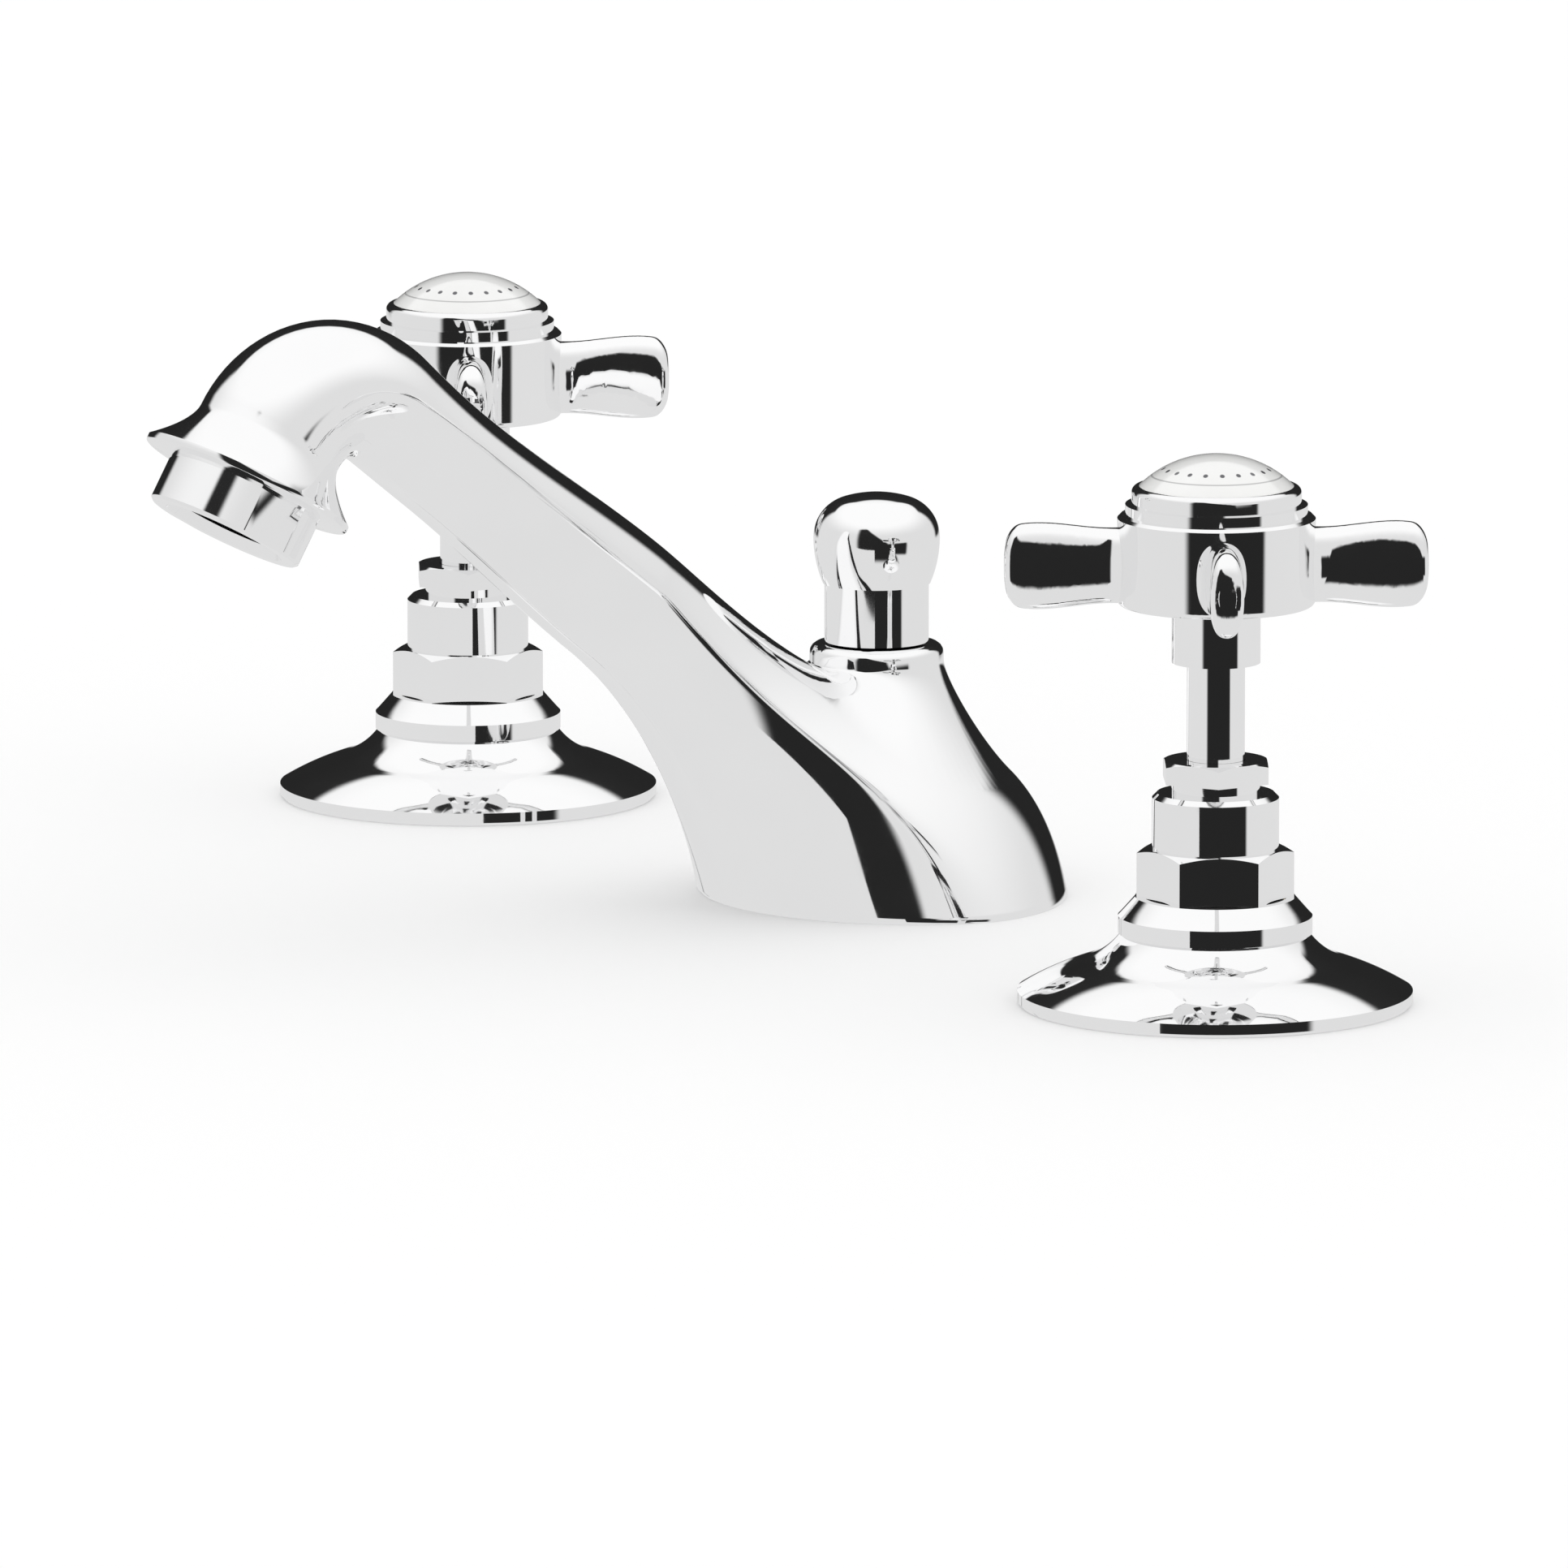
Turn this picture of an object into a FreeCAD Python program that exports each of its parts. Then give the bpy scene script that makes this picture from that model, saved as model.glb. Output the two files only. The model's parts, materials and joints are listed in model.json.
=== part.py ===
import FreeCAD, Part
import math
import os
from collections import namedtuple

import Sketcher
from FreeCAD import Placement, Rotation, Vector

# Three-hole basin mixer: a cast spout with a pop-up waste knob and two screw-down side valves.
# Millimetres, +Z up. The deck is the plane z = 0, and the knob's axis is x = 0, y = 0.
# The spout points to -Y, and the valves stand at plus and minus X.

# Driving dimensions, in millimetres and degrees
SIZES = {
    # Where the units stand
    "valve_spacing": 211.0,
    "valve_forward": 7.9,
    "deck_thickness": 15.0,
    # Fits
    "run_gap": 0.08,
    "seat_gap": 0.05,
    "free_gap": 0.3,
    # Spout casting: base
    "base_front": 26.0,
    "base_back": 27.6,
    "base_half_width": 32.5,
    "base_keel": 10.0,
    "base_bulge": 4.0,
    "base_flute": 1.5,
    "base_corner": 7.2,
    "back_lean": 1.5,
    "back_pull": 33.0,
    "crown_pull": 33.5,
    "crown_sag": 5.6,
    "throat_pull": 21.0,
    # Spout casting: arm and nose
    "spout_reach": 110.0,
    "outlet_height": 70.9,
    "outlet_tilt": 30.1,
    "root_forward": 46.0,
    "root_rise": 49.1,
    "arm_half_width": 11.0,
    "arm_root_height": 19.8,
    "arm_mid_height": 16.8,
    "arm_keel": 3.8,
    "arm_flute": -0.7,
    "arm_bulge": 0.5,
    "crease_round": 1.2,
    "bend_radius": 12.7,
    "horn_radius": 11.2,
    "lip_radius": 16.3,
    "lip_band": 1.0,
    "nose_drop": 8.0,
    # Spout casting: boss and hollows
    "boss_radius": 10.1,
    "boss_height": 38.0,
    "boss_flare": 10.4,
    "boss_foot": 16.5,
    "boss_neck": 35.4,
    "boss_edge": 1.5,
    "cavity_top_radius": 12.5,
    "cavity_height": 16.0,
    "waterway_radius": 4.0,
    "waterway_turn": 22.0,
    "nose_recess": 6.0,
    # Aerator
    "aerator_radius": 12.0,
    "aerator_drop": 7.6,
    "aerator_thread_radius": 10.9,
    "aerator_bore_radius": 9.4,
    "aerator_flat_distance": 22.6,
    "aerator_lip": 1.6,
    "aerator_insert_depth": 4.5,
    "aerator_insert_height": 3.0,
    "aerator_washer_height": 1.2,
    "aerator_hole_radius": 1.1,
    "aerator_hole_pitch": 3.1,
    "aerator_edge": 0.4,
    "aerator_ledge": 0.8,
    # Pop-up knob and rod
    "knob_radius": 9.5,
    "knob_stem_radius": 7.85,
    "knob_stem_height": 8.8,
    "knob_height": 22.4,
    "knob_ledge_radius": 8.1,
    "knob_crown": 0.8,
    "knob_crown_radius": 5.2,
    "knob_bow": 0.36,
    "rod_radius": 2.5,
    "rod_tail": 75.0,
    "rod_thread": 9.0,
    "rod_bore_radius": 3.2,
    "guide_radius": 4.4,
    "guide_wall": 2.0,
    "guide_length": 6.0,
    "rod_seal_height": 2.0,
    "lift_travel": 20.0,
    # Under the spout
    "base_seal_radius": 24.0,
    "base_seal_width": 2.7,
    "base_seal_height": 1.5,
    "tail_radius": 5.0,
    "tail_bore_radius": 3.4,
    "tail_drop": 46.0,
    "tail_grip": 8.0,
    "tail_boss_radius": 8.0,
    "tee_radius": 9.0,
    "tee_height": 26.0,
    "tee_grip": 9.0,
    "tee_reach": 24.0,
    "branch_radius": 6.58,
    "branch_bore_radius": 3.5,
    "branch_shoulder": 1.2,
    "branch_shoulder_reach": 10.5,
    "tee_seal_height": 1.0,
    "port_radius": 8.33,
    "port_bore_radius": 5.0,
    "stud_offset": 9.0,
    "stud_radius": 3.0,
    "stud_grip": 10.0,
    "stud_drop": 52.0,
    "stud_boss_radius": 5.5,
    "clamp_radius": 25.0,
    "clamp_slot_width": 12.6,
    "clamp_thickness": 3.0,
    "stud_nut_flats": 10.0,
    "stud_nut_height": 12.0,
    # Valve: flange and collar
    "flange_radius": 29.0,
    "flange_rim": 2.0,
    "flange_height": 10.6,
    "flange_wall": 2.2,
    "flange_edge": 0.5,
    "flange_waist_radius": 20.5,
    "flange_waist_height": 5.9,
    "flange_swell": 0.2,
    "flange_hollow": 0.55,
    "flange_seal_height": 1.5,
    "flange_seal_width": 5.0,
    "collar_radius": 14.25,
    "collar_band": 2.5,
    "collar_edge": 0.35,
    "collar_height": 5.3,
    "collar_top_radius": 11.75,
    # Valve: body
    "body_radius": 10.48,
    "body_bore_radius": 8.0,
    "chamber_radius": 7.2,
    "block_radius": 13.5,
    "block_top": 27.0,
    "block_height": 22.0,
    "inlet_length": 18.0,
    "inlet_bore_radius": 6.2,
    "seat_bore_radius": 5.2,
    "seat_radius": 6.6,
    "seat_rise": 1.5,
    "floor_thickness": 3.0,
    "port_height": 11.0,
    "port_reach": 24.0,
    "port_shoulder": 1.6,
    "port_shoulder_reach": 14.2,
    "port_wall": 1.0,
    # Valve: clamp under the deck
    "gasket_radius": 18.0,
    "gasket_thickness": 2.0,
    "washer_radius": 17.0,
    "washer_thickness": 1.2,
    "backnut_flats": 27.0,
    "backnut_height": 6.0,
    # Valve: bonnet and gland
    "bonnet_seal_height": 0.8,
    "bonnet_seal_inset": 0.5,
    "bonnet_flats": 20.0,
    "bonnet_hex_height": 7.2,
    "bonnet_barrel_radius": 9.3,
    "bonnet_barrel_height": 8.2,
    "bonnet_chamfer": 0.7,
    "bonnet_tail_drop": 4.0,
    "thread_run_out": 2.75,
    "packing_radius": 6.2,
    "packing_height": 4.0,
    "gland_neck_radius": 6.5,
    "gland_neck_height": 1.8,
    "gland_thread_length": 5.0,
    "gland_flats": 15.0,
    "gland_hex_height": 3.1,
    # Valve: spindle and jumper
    "spindle_radius": 4.25,
    "spindle_thread_radius": 5.5,
    "spindle_thread_top": 12.0,
    "spindle_square": 6.0,
    "spindle_square_height": 9.0,
    "spindle_hole_depth": 10.0,
    "jumper_radius": 6.0,
    "jumper_thickness": 2.4,
    "jumper_stem_radius": 2.4,
    "jumper_stem_height": 8.5,
    "jumper_washer_thickness": 2.5,
    "spindle_rise": 5.25,
    # Handle
    "handle_bottom": 50.6,
    "handle_collar_radius": 6.5,
    "handle_collar_height": 8.5,
    "hub_radius": 14.5,
    "hub_height": 13.3,
    "hub_edge": 0.9,
    "hub_ring_radius": 13.35,
    "hub_ring_height": 1.6,
    "hub_recess_radius": 10.5,
    "hub_web": 4.0,
    "arm_reach": 31.0,
    "arm_overlap": 1.5,
    "arm_thickness": 4.9,
    "arm_root_depth": 10.6,
    "arm_tip_depth": 12.6,
    "arm_tip_corner": 4.6,
    "arm_tip_length": 3.0,
    "arm_edge": 1.2,
    "arm_height": 5.9,
    "arm_pad_width": 12.0,
    "arm_pad_depth": 11.4,
    "arm_pad_reach": 17.2,
    "arm_turn": 60.0,
    "screw_radius": 2.0,
    "screw_length": 11.0,
    "screw_head_radius": 3.8,
    "screw_head_height": 2.4,
    "screw_head_bevel": 1.0,
    "screw_slot_width": 0.9,
    "screw_slot_depth": 1.1,
    # Cap and index
    "cap_radius": 12.45,
    "cap_height": 2.7,
    "cap_edge": 1.0,
    "cap_spigot_length": 4.5,
    "cap_bore_radius": 8.5,
    "index_radius": 11.3,
    "index_seat": 1.4,
    "index_dome": 4.6,
    "index_spigot_length": 3.0,
}

doc = FreeCAD.newDocument("BasinMixer")
sheet = doc.addObject("Spreadsheet::Sheet", "Sizes")
for row, (alias, number) in enumerate(SIZES.items(), start=1):
    sheet.set(f"A{row}", alias)
    sheet.set(f"B{row}", str(number))
    sheet.setAlias(f"B{row}", alias)
doc.recompute()

COS_30 = math.cos(math.radians(30))
CORNER_SHARE = 1 - math.sqrt(0.5)
nodes = []


class Size:
    """A number together with the sheet formula that gives it."""

    def __init__(self, formula, value):
        self.formula = formula
        self.value = value

    def joined(self, sign, other, value):
        text = other.formula if isinstance(other, Size) else repr(float(other))
        return Size(f"({self.formula} {sign} {text})", value)

    def __add__(self, other):
        return self.joined("+", other, self.value + amount(other))

    def __sub__(self, other):
        return self.joined("-", other, self.value - amount(other))

    def __mul__(self, other):
        return self.joined("*", other, self.value * amount(other))

    def __truediv__(self, other):
        return self.joined("/", other, self.value / amount(other))

    def __neg__(self):
        return self * -1


def amount(number):
    return number.value if isinstance(number, Size) else float(number)


def size(alias):
    return Size("Sizes." + alias, float(sheet.get(alias)))


def bind(obj, prop, number):
    """Set a property, and tie it to the sheet where the number comes from there."""
    if isinstance(number, Size):
        obj.setExpression(prop, number.formula)
    elif "." not in prop:
        setattr(obj, prop, number)


def place(obj, x=0.0, y=0.0, z=0.0, turn=None):
    """Put an object at a point whose coordinates may be tied to the sheet."""
    obj.Placement = Placement(Vector(amount(x), amount(y), amount(z)), turn or Rotation())
    for axis, number in (("x", x), ("y", y), ("z", z)):
        bind(obj, f"Placement.Base.{axis}", number)
    return obj


def stand(obj, x, z=0.0, turn=None):
    """Put a valve piece on its valve's axis."""
    return place(obj, x, -size("valve_forward"), z, turn)


def as_node(obj, label):
    """Name an object as one of the mixer's separate pieces."""
    obj.Label = label
    nodes.append(obj)
    return obj


# Sketch outlines


def arc_centre(first, middle, last):
    """Centre of the circle through three points of a plane."""
    ax, ay = middle[0] - first[0], middle[1] - first[1]
    bx, by = last[0] - first[0], last[1] - first[1]
    cross = 2 * (ax * by - ay * bx)
    a2, b2 = ax * ax + ay * ay, bx * bx + by * by
    return first[0] + (by * a2 - ay * b2) / cross, first[1] + (ax * b2 - bx * a2) / cross, cross > 0


def pin_point(sketch, geometry, position, point):
    """Tie a sketch point's two coordinates to the sheet."""
    for kind, axis, number in (("DistanceX", -2, point[0]), ("DistanceY", -1, point[1])):
        if not isinstance(number, Size) and number == 0:
            sketch.addConstraint(Sketcher.Constraint("PointOnObject", geometry, position, axis))
            continue
        index = sketch.addConstraint(
            Sketcher.Constraint(kind, -1, 1, geometry, position, amount(number)))
        if isinstance(number, Size):
            sketch.setExpression(f"Constraints[{index}]", number.formula)


def draw_outline(sketch, outline):
    """Draw a closed outline of lines and arcs, each entry ending where the next begins.

    (x, y) ends a line, (x, y, through_x, through_y) ends an arc through a point, and
    (0, y, "axis") ends an arc whose centre is on the turning axis.
    """
    ends = []
    for step, entry in enumerate(outline):
        begin = outline[step - 1][:2]
        p, q = [tuple(amount(n) for n in point) for point in (begin, entry[:2])]
        if len(entry) == 2:
            line = Part.LineSegment(Vector(*p, 0), Vector(*q, 0))
            ends.append((sketch.addGeometry(line), 1, 2))
            continue
        if entry[2] == "axis":
            cx, cy, forward = 0.0, (q[1] ** 2 - p[1] ** 2 - p[0] ** 2) / (2 * (q[1] - p[1])), True
        else:
            cx, cy, forward = arc_centre(p, tuple(amount(n) for n in entry[2:]), q)
        circle = Part.Circle(Vector(cx, cy, 0), Vector(0, 0, 1), math.hypot(p[0] - cx, p[1] - cy))
        low, high = (p, q) if forward else (q, p)
        angles = [math.atan2(point[1] - cy, point[0] - cx) for point in (low, high)]
        if angles[1] < angles[0]:
            angles[1] += 2 * math.pi
        arc = sketch.addGeometry(Part.ArcOfCircle(circle, *angles))
        ends.append((arc, 1, 2) if forward else (arc, 2, 1))
    for step, (geometry, first, last) in enumerate(ends):
        before, _, before_last = ends[step - 1]
        sketch.addConstraint(Sketcher.Constraint("Coincident", before, before_last, geometry, first))
        pin_point(sketch, geometry, last, outline[step][:2])
    for (geometry, _, _), entry in zip(ends, outline):
        if len(entry) == 3:
            sketch.addConstraint(Sketcher.Constraint("PointOnObject", geometry, 3, -2))
        if len(entry) == 4:
            point = sketch.addGeometry(Part.Point(Vector(amount(entry[2]), amount(entry[3]), 0)), True)
            pin_point(sketch, point, 1, entry[2:])
            sketch.addConstraint(Sketcher.Constraint("PointOnObject", point, 1, geometry))


def sketch_on(body, role, outline):
    sketch = body.newObject("Sketcher::SketchObject", body.Name + "_outline")
    plane = next(p for p in body.Origin.OriginFeatures if p.Role == role)
    sketch.AttachmentSupport = [(plane, "")]
    sketch.MapMode = "FlatFace"
    draw_outline(sketch, outline)
    return sketch


def turned(name, outline):
    """A solid of revolution about its own Z axis; outline points are (radius, height)."""
    body = doc.addObject("PartDesign::Body", name)
    sketch = sketch_on(body, "XZ_Plane", outline)
    turn = body.newObject("PartDesign::Revolution", name + "_turn")
    turn.Profile = sketch
    turn.ReferenceAxis = (sketch, ["V_Axis"])
    turn.Angle = 360
    sketch.Visibility = False
    return body


def ring(name, outer, inner, height):
    return turned(name, [(inner, 0.0), (outer, 0.0), (outer, height), (inner, height)])


# Plain solids and their joining


def cylinder(name, radius, height):
    obj = doc.addObject("Part::Cylinder", name)
    bind(obj, "Radius", radius)
    bind(obj, "Height", height)
    return obj


def box(name, length, width, height):
    obj = doc.addObject("Part::Box", name)
    for prop, number in (("Length", length), ("Width", width), ("Height", height)):
        bind(obj, prop, number)
    return obj


def hexagon(name, flats, height):
    obj = doc.addObject("Part::Prism", name)
    obj.Polygon = 6
    bind(obj, "Circumradius", flats / (2 * COS_30))
    bind(obj, "Height", height)
    return obj


def fuse(name, shapes):
    obj = doc.addObject("Part::MultiFuse", name)
    obj.Shapes = shapes
    obj.Refine = True
    return obj


def common(name, base, tool):
    obj = doc.addObject("Part::Common", name)
    obj.Base = base
    obj.Tool = tool
    return obj


def cut(name, base, tools):
    obj = doc.addObject("Part::Cut", name)
    obj.Base = base
    obj.Tool = tools[0] if len(tools) == 1 else fuse(name + "_tools", tools)
    obj.Refine = True
    return obj


def hex_blank(name, flats, height, both_ends=True):
    """A hexagon whose corners are turned off at the top, and at the bottom too if asked."""
    flat_radius, corner_radius = flats / 2, flats / (2 * COS_30)
    fall = (corner_radius - flat_radius) / 2
    outline = [(0.0, 0.0), (flat_radius, 0.0), (corner_radius, fall)] if both_ends else [
        (0.0, 0.0), (corner_radius, 0.0)]
    outline += [(corner_radius, height - fall), (flat_radius, height), (0.0, height)]
    return common(name + "_blank", hexagon(name + "_hex", flats, height),
                  turned(name + "_corners", outline))


def nut(name, flats, height, bore):
    return cut(name, hex_blank(name, flats, height), [cylinder(name + "_bore", bore, height)])


# Spout casting

Section = namedtuple("Section", "low high half_width crease keel flute lean trim bulge roundness")
ROUND_SPLITS = [math.radians(angle) for angle in (0, 40, 55, 95, 110, 180)]
ELLIPSE_PULL = 0.5523
SPOUT_STEPS = 10

# How the section changes on its way: shares of the length, shares of the height, and powers
FLARE_POWER = 1.6
SLIM_AT = 0.5
KEEL_START, KEEL_FULL = 0.1, 0.5
ARM_CREASE, BASE_CREASE, CREASE_DIP = 0.63, 0.46, 0.47
ARM_LEAN = 25.0
WIDTH_POWER, BULGE_POWER, KEEL_POWER, CORNER_POWER = 1.5, 2, 4, 6
SAG_SHARE = 0.6
FLARE_BOW = 0.46


def mix(first, second, share):
    return tuple(a + (b - a) * share for a, b in zip(first, second))


def raised(first, control, last):
    """A quadratic curve's four cubic poles."""
    return [first, mix(first, control, 2 / 3), mix(last, control, 2 / 3), last]


def split_cubic(poles, start, end):
    """The stretch of a cubic curve between two of its parameters."""
    def blossom(a, b, c):
        stage = poles
        for share in (a, b, c):
            stage = [mix(stage[i], stage[i + 1], share) for i in range(len(stage) - 1)]
        return stage[0]
    return [blossom(start, start, start), blossom(start, start, end),
            blossom(start, end, end), blossom(end, end, end)]


def meeting(p, p_next, q, q_next):
    """Where the line through p and p_next meets the line through q and q_next."""
    dx, dy = p_next[0] - p[0], p_next[1] - p[1]
    ex, ey = q_next[0] - q[0], q_next[1] - q[1]
    share = ((q[0] - p[0]) * ey - (q[1] - p[1]) * ex) / (dx * ey - dy * ex)
    return p[0] + dx * share, p[1] + dy * share


def keeled_half(section, height):
    """Right half of the keeled outline as five cubic curves, from its low to its high point."""
    keel = (section.keel, section.flute)
    crease = (section.half_width, section.crease * height)
    side_length = math.dist(keel, crease)
    outward = ((crease[1] - keel[1]) / side_length, (keel[0] - crease[0]) / side_length)
    middle = mix(keel, crease, 0.5)
    side = raised(keel, tuple(m + 2 * section.bulge * n for m, n in zip(middle, outward)), crease)
    rise = height - crease[1]
    lean = math.radians(section.lean)
    pull = ELLIPSE_PULL * rise
    crown = [crease, (crease[0] - pull * math.sin(lean), crease[1] + pull * math.cos(lean)),
             (ELLIPSE_PULL * crease[0], height), (0.0, height)]
    floor = raised((0.0, 0.0), (keel[0] / 2, 0.0), keel)
    side_trim = section.trim / side_length
    crown_trim = section.trim / math.dist(crease, (0.0, height))
    floor_trim = min(0.5, section.trim / section.keel)
    floor = split_cubic(floor, 0.0, 1 - floor_trim)
    side = split_cubic(side, side_trim, 1 - side_trim)
    crown = split_cubic(crown, crown_trim, 1.0)
    low_corner = raised(floor[3], meeting(floor[3], floor[2], side[0], side[1]), side[0])
    high_corner = raised(side[3], meeting(side[3], side[2], crown[0], crown[1]), crown[0])
    return [floor, low_corner, side, high_corner, crown]


def round_half(half_width, height):
    """Right half of an ellipse, split into the same five curves."""
    curves = []
    for first, last in zip(ROUND_SPLITS, ROUND_SPLITS[1:]):
        pull = 4 / 3 * math.tan((last - first) / 4)
        poles = [(math.sin(first), -math.cos(first)),
                 (math.sin(first) + pull * math.cos(first), -math.cos(first) + pull * math.sin(first)),
                 (math.sin(last) - pull * math.cos(last), -math.cos(last) - pull * math.sin(last)),
                 (math.sin(last), -math.cos(last))]
        curves.append([(half_width * u, height * (1 + v) / 2) for u, v in poles])
    return curves


def section_wire(section):
    """The closed outline of a section, in the plane of its low and high points and of X."""
    low, high = section.low, section.high
    height = math.dist(low, high)
    along = ((high[0] - low[0]) / height, (high[1] - low[1]) / height)
    keeled = keeled_half(section, height)
    circle = round_half(section.half_width, height)
    half = [[mix(a, b, section.roundness) for a, b in zip(first, second)]
            for first, second in zip(keeled, circle)]

    def edge(poles, side):
        curve = Part.BezierCurve()
        curve.setPoles([Vector(side * u, low[0] + v * along[0], low[1] + v * along[1])
                        for u, v in poles])
        return curve.toShape()

    right = [edge(poles, 1) for poles in half]
    left = [edge(poles[::-1], -1) for poles in half[::-1]]
    return Part.Wire(right + left)


def quadratic(first, control, last, share):
    return mix(mix(first, control, share), mix(control, last, share), share)


def cubic(first, second, third, last, share):
    return mix(quadratic(first, second, third, share), quadratic(second, third, last, share), share)


class SpoutAxis:
    """Side view of the spout's centre line as (y, z) points, worked out from the sheet."""

    def __init__(self):
        tilt = math.radians(size("outlet_tilt").value)
        self.outlet = (-size("spout_reach").value, size("outlet_height").value)
        self.root = (-size("root_forward").value, size("root_rise").value)
        self.inward = (math.sin(tilt), math.cos(tilt))
        self.radius = size("bend_radius").value
        self.bend_start = self.up_nose(size("nose_drop").value)
        self.centre = (self.bend_start[0] + self.radius * self.inward[1],
                       self.bend_start[1] - self.radius * self.inward[0])
        slope = self.arm_slope()
        self.sweep = math.pi / 2 - tilt + slope
        self.arm_out = (math.sin(slope), math.cos(slope))
        self.arm_along = (math.cos(slope), -math.sin(slope))
        self.bend_end = self.on_bend(1.0)[0]
        self.bend_length = self.radius * self.sweep
        self.length = self.bend_length + math.dist(self.bend_end, self.root)

    def arm_slope(self):
        """Fall of the straight arm, which leaves the bend on a tangent and ends at the root."""
        forward, rise = self.root[0] - self.centre[0], self.root[1] - self.centre[1]
        return math.pi / 2 - math.atan2(rise, forward) - math.acos(self.radius / math.hypot(forward, rise))

    def up_nose(self, distance):
        """A point of the straight nose, measured inward from the outlet plane."""
        return tuple(c + distance * d for c, d in zip(self.outlet, self.inward))

    def on_bend(self, share):
        """A point of the bend, and the direction there from the bend's centre outward."""
        tilt = math.atan2(self.inward[0], self.inward[1])
        angle = math.pi - tilt - self.sweep * share
        outward = (math.cos(angle), math.sin(angle))
        return tuple(c + self.radius * d for c, d in zip(self.centre, outward)), outward

    def on_limb(self, share):
        """A point along bend and arm together, and the outward direction there."""
        distance = share * self.length
        if distance < self.bend_length:
            return self.on_bend(distance / self.bend_length)
        return self.on_arm(distance - self.bend_length), self.arm_out

    def on_arm(self, distance):
        """A point of the straight arm, measured from the bend's end."""
        return tuple(c + distance * d for c, d in zip(self.bend_end, self.arm_along))


def across(point, outward, half_height):
    low = tuple(c - half_height * d for c, d in zip(point, outward))
    high = tuple(c + half_height * d for c, d in zip(point, outward))
    return low, high


def smooth(share):
    """0 to 1 with level ends."""
    share = min(1.0, max(0.0, share))
    return share * share * (3 - 2 * share)


def blend(first, last, share):
    return first + (last - first) * smooth(share)


def nose_section(axis, share):
    """A round section between the lip, at 0, and the start of the bend, at 1."""
    lip, horn = size("lip_radius").value, size("horn_radius").value
    band, drop = size("lip_band").value, size("nose_drop").value
    distance = band + (drop - band) * share
    radius = horn + (lip - horn) * (1 - share) ** FLARE_POWER
    return round_section(axis, distance, radius)


def round_section(axis, distance, radius):
    low, high = across(axis.up_nose(distance), (-axis.inward[1], axis.inward[0]), radius)
    return arm_shaped(low, high, radius, 1.0)


def arm_shaped(low, high, half_width, roundness):
    return Section(low, high, half_width, ARM_CREASE, size("arm_keel").value, size("arm_flute").value,
                   ARM_LEAN, size("crease_round").value, size("arm_bulge").value, roundness)


def limb_section(axis, share):
    """A section between the start of the bend, at 0, and the arm's root, at 1."""
    horn, middle, root = (size("horn_radius").value, size("arm_mid_height").value / 2,
                          size("arm_root_height").value / 2)
    if share < SLIM_AT:
        half_height = blend(horn, middle, share / SLIM_AT)
    else:
        half_height = blend(middle, root, (share - SLIM_AT) / (1 - SLIM_AT))
    half_width = blend(horn, size("arm_half_width").value, share / SLIM_AT)
    roundness = 1 - smooth((share - KEEL_START) / (KEEL_FULL - KEEL_START))
    point, outward = axis.on_limb(share)
    low, high = across(point, outward, half_height)
    return arm_shaped(low, high, half_width, roundness)


def root_section(axis, share):
    """A section between the base outline on the deck, at 0, and the arm's root, at 1."""
    arm = limb_section(axis, 1.0)
    front = (-size("base_front").value, 0.0)
    back = (size("base_back").value, 0.0)
    front_pull = tuple(c + size("throat_pull").value * d for c, d in zip(arm.low, axis.arm_along))
    back_pull = (back[0] - size("back_lean").value, size("back_pull").value)
    crown_pull = tuple(c + size("crown_pull").value * d for c, d in zip(arm.high, axis.arm_along))
    low = quadratic(front, front_pull, arm.low, share)
    left = 1 - share
    sag = (share / SAG_SHARE) ** 3 * (left / (1 - SAG_SHARE)) ** 2 * size("crown_sag").value
    high = cubic(back, back_pull, crown_pull, arm.high, share)
    high = (high[0], high[1] - sag)

    def toward(alias, start, power):
        return start + (size(alias).value - start) * left ** power

    return Section(
        low, high, toward("base_half_width", arm.half_width, WIDTH_POWER),
        ARM_CREASE * share + BASE_CREASE * left - CREASE_DIP * share * left,
        toward("base_keel", arm.keel, KEEL_POWER), toward("base_flute", arm.flute, CORNER_POWER),
        arm.lean * share, toward("base_corner", arm.trim, CORNER_POWER),
        toward("base_bulge", arm.bulge, BULGE_POWER), 0.0)


def spout_sections(axis):
    """The casting's outlines, from the lip to the deck and one step below it."""
    shares = [step / SPOUT_STEPS for step in range(SPOUT_STEPS + 1)]
    sections = [round_section(axis, 0.0, size("lip_radius").value)]
    sections += [nose_section(axis, share) for share in shares[:-1:2]]
    sections += [limb_section(axis, share) for share in shares]
    sections += [root_section(axis, 1 - share) for share in shares[1:]]
    sections.append(root_section(axis, -1 / SPOUT_STEPS))
    return sections


def spout_skin(axis):
    """The casting's outer skin, lofted from the lip past the deck, where it is cut off later."""
    wires = []
    for index, section in enumerate(spout_sections(axis)):
        wire = doc.addObject("Part::Feature", f"spout_section_{index}")
        wire.Shape = section_wire(section)
        wires.append(wire)
    skin = doc.addObject("Part::Loft", "spout_skin")
    skin.Sections = wires
    skin.Solid = True
    skin.Ruled = False
    return skin


def along_path(name, points, radius):
    """A round passage along straight runs in the plane x = 0, with a ball at each corner."""
    pieces = []
    for index, (first, last) in enumerate(zip(points, points[1:])):
        run = Vector(0, last[0] - first[0], last[1] - first[1])
        tube = cylinder(f"{name}_run_{index}", radius, run.Length)
        tube.Placement = Placement(Vector(0, *first), Rotation(Vector(0, 0, 1), run))
        ball = doc.addObject("Part::Sphere", f"{name}_ball_{index}")
        bind(ball, "Radius", radius)
        ball.Placement = Placement(Vector(0, *last), Rotation())
        pieces += [tube, ball]
    return fuse(name, pieces)


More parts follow.
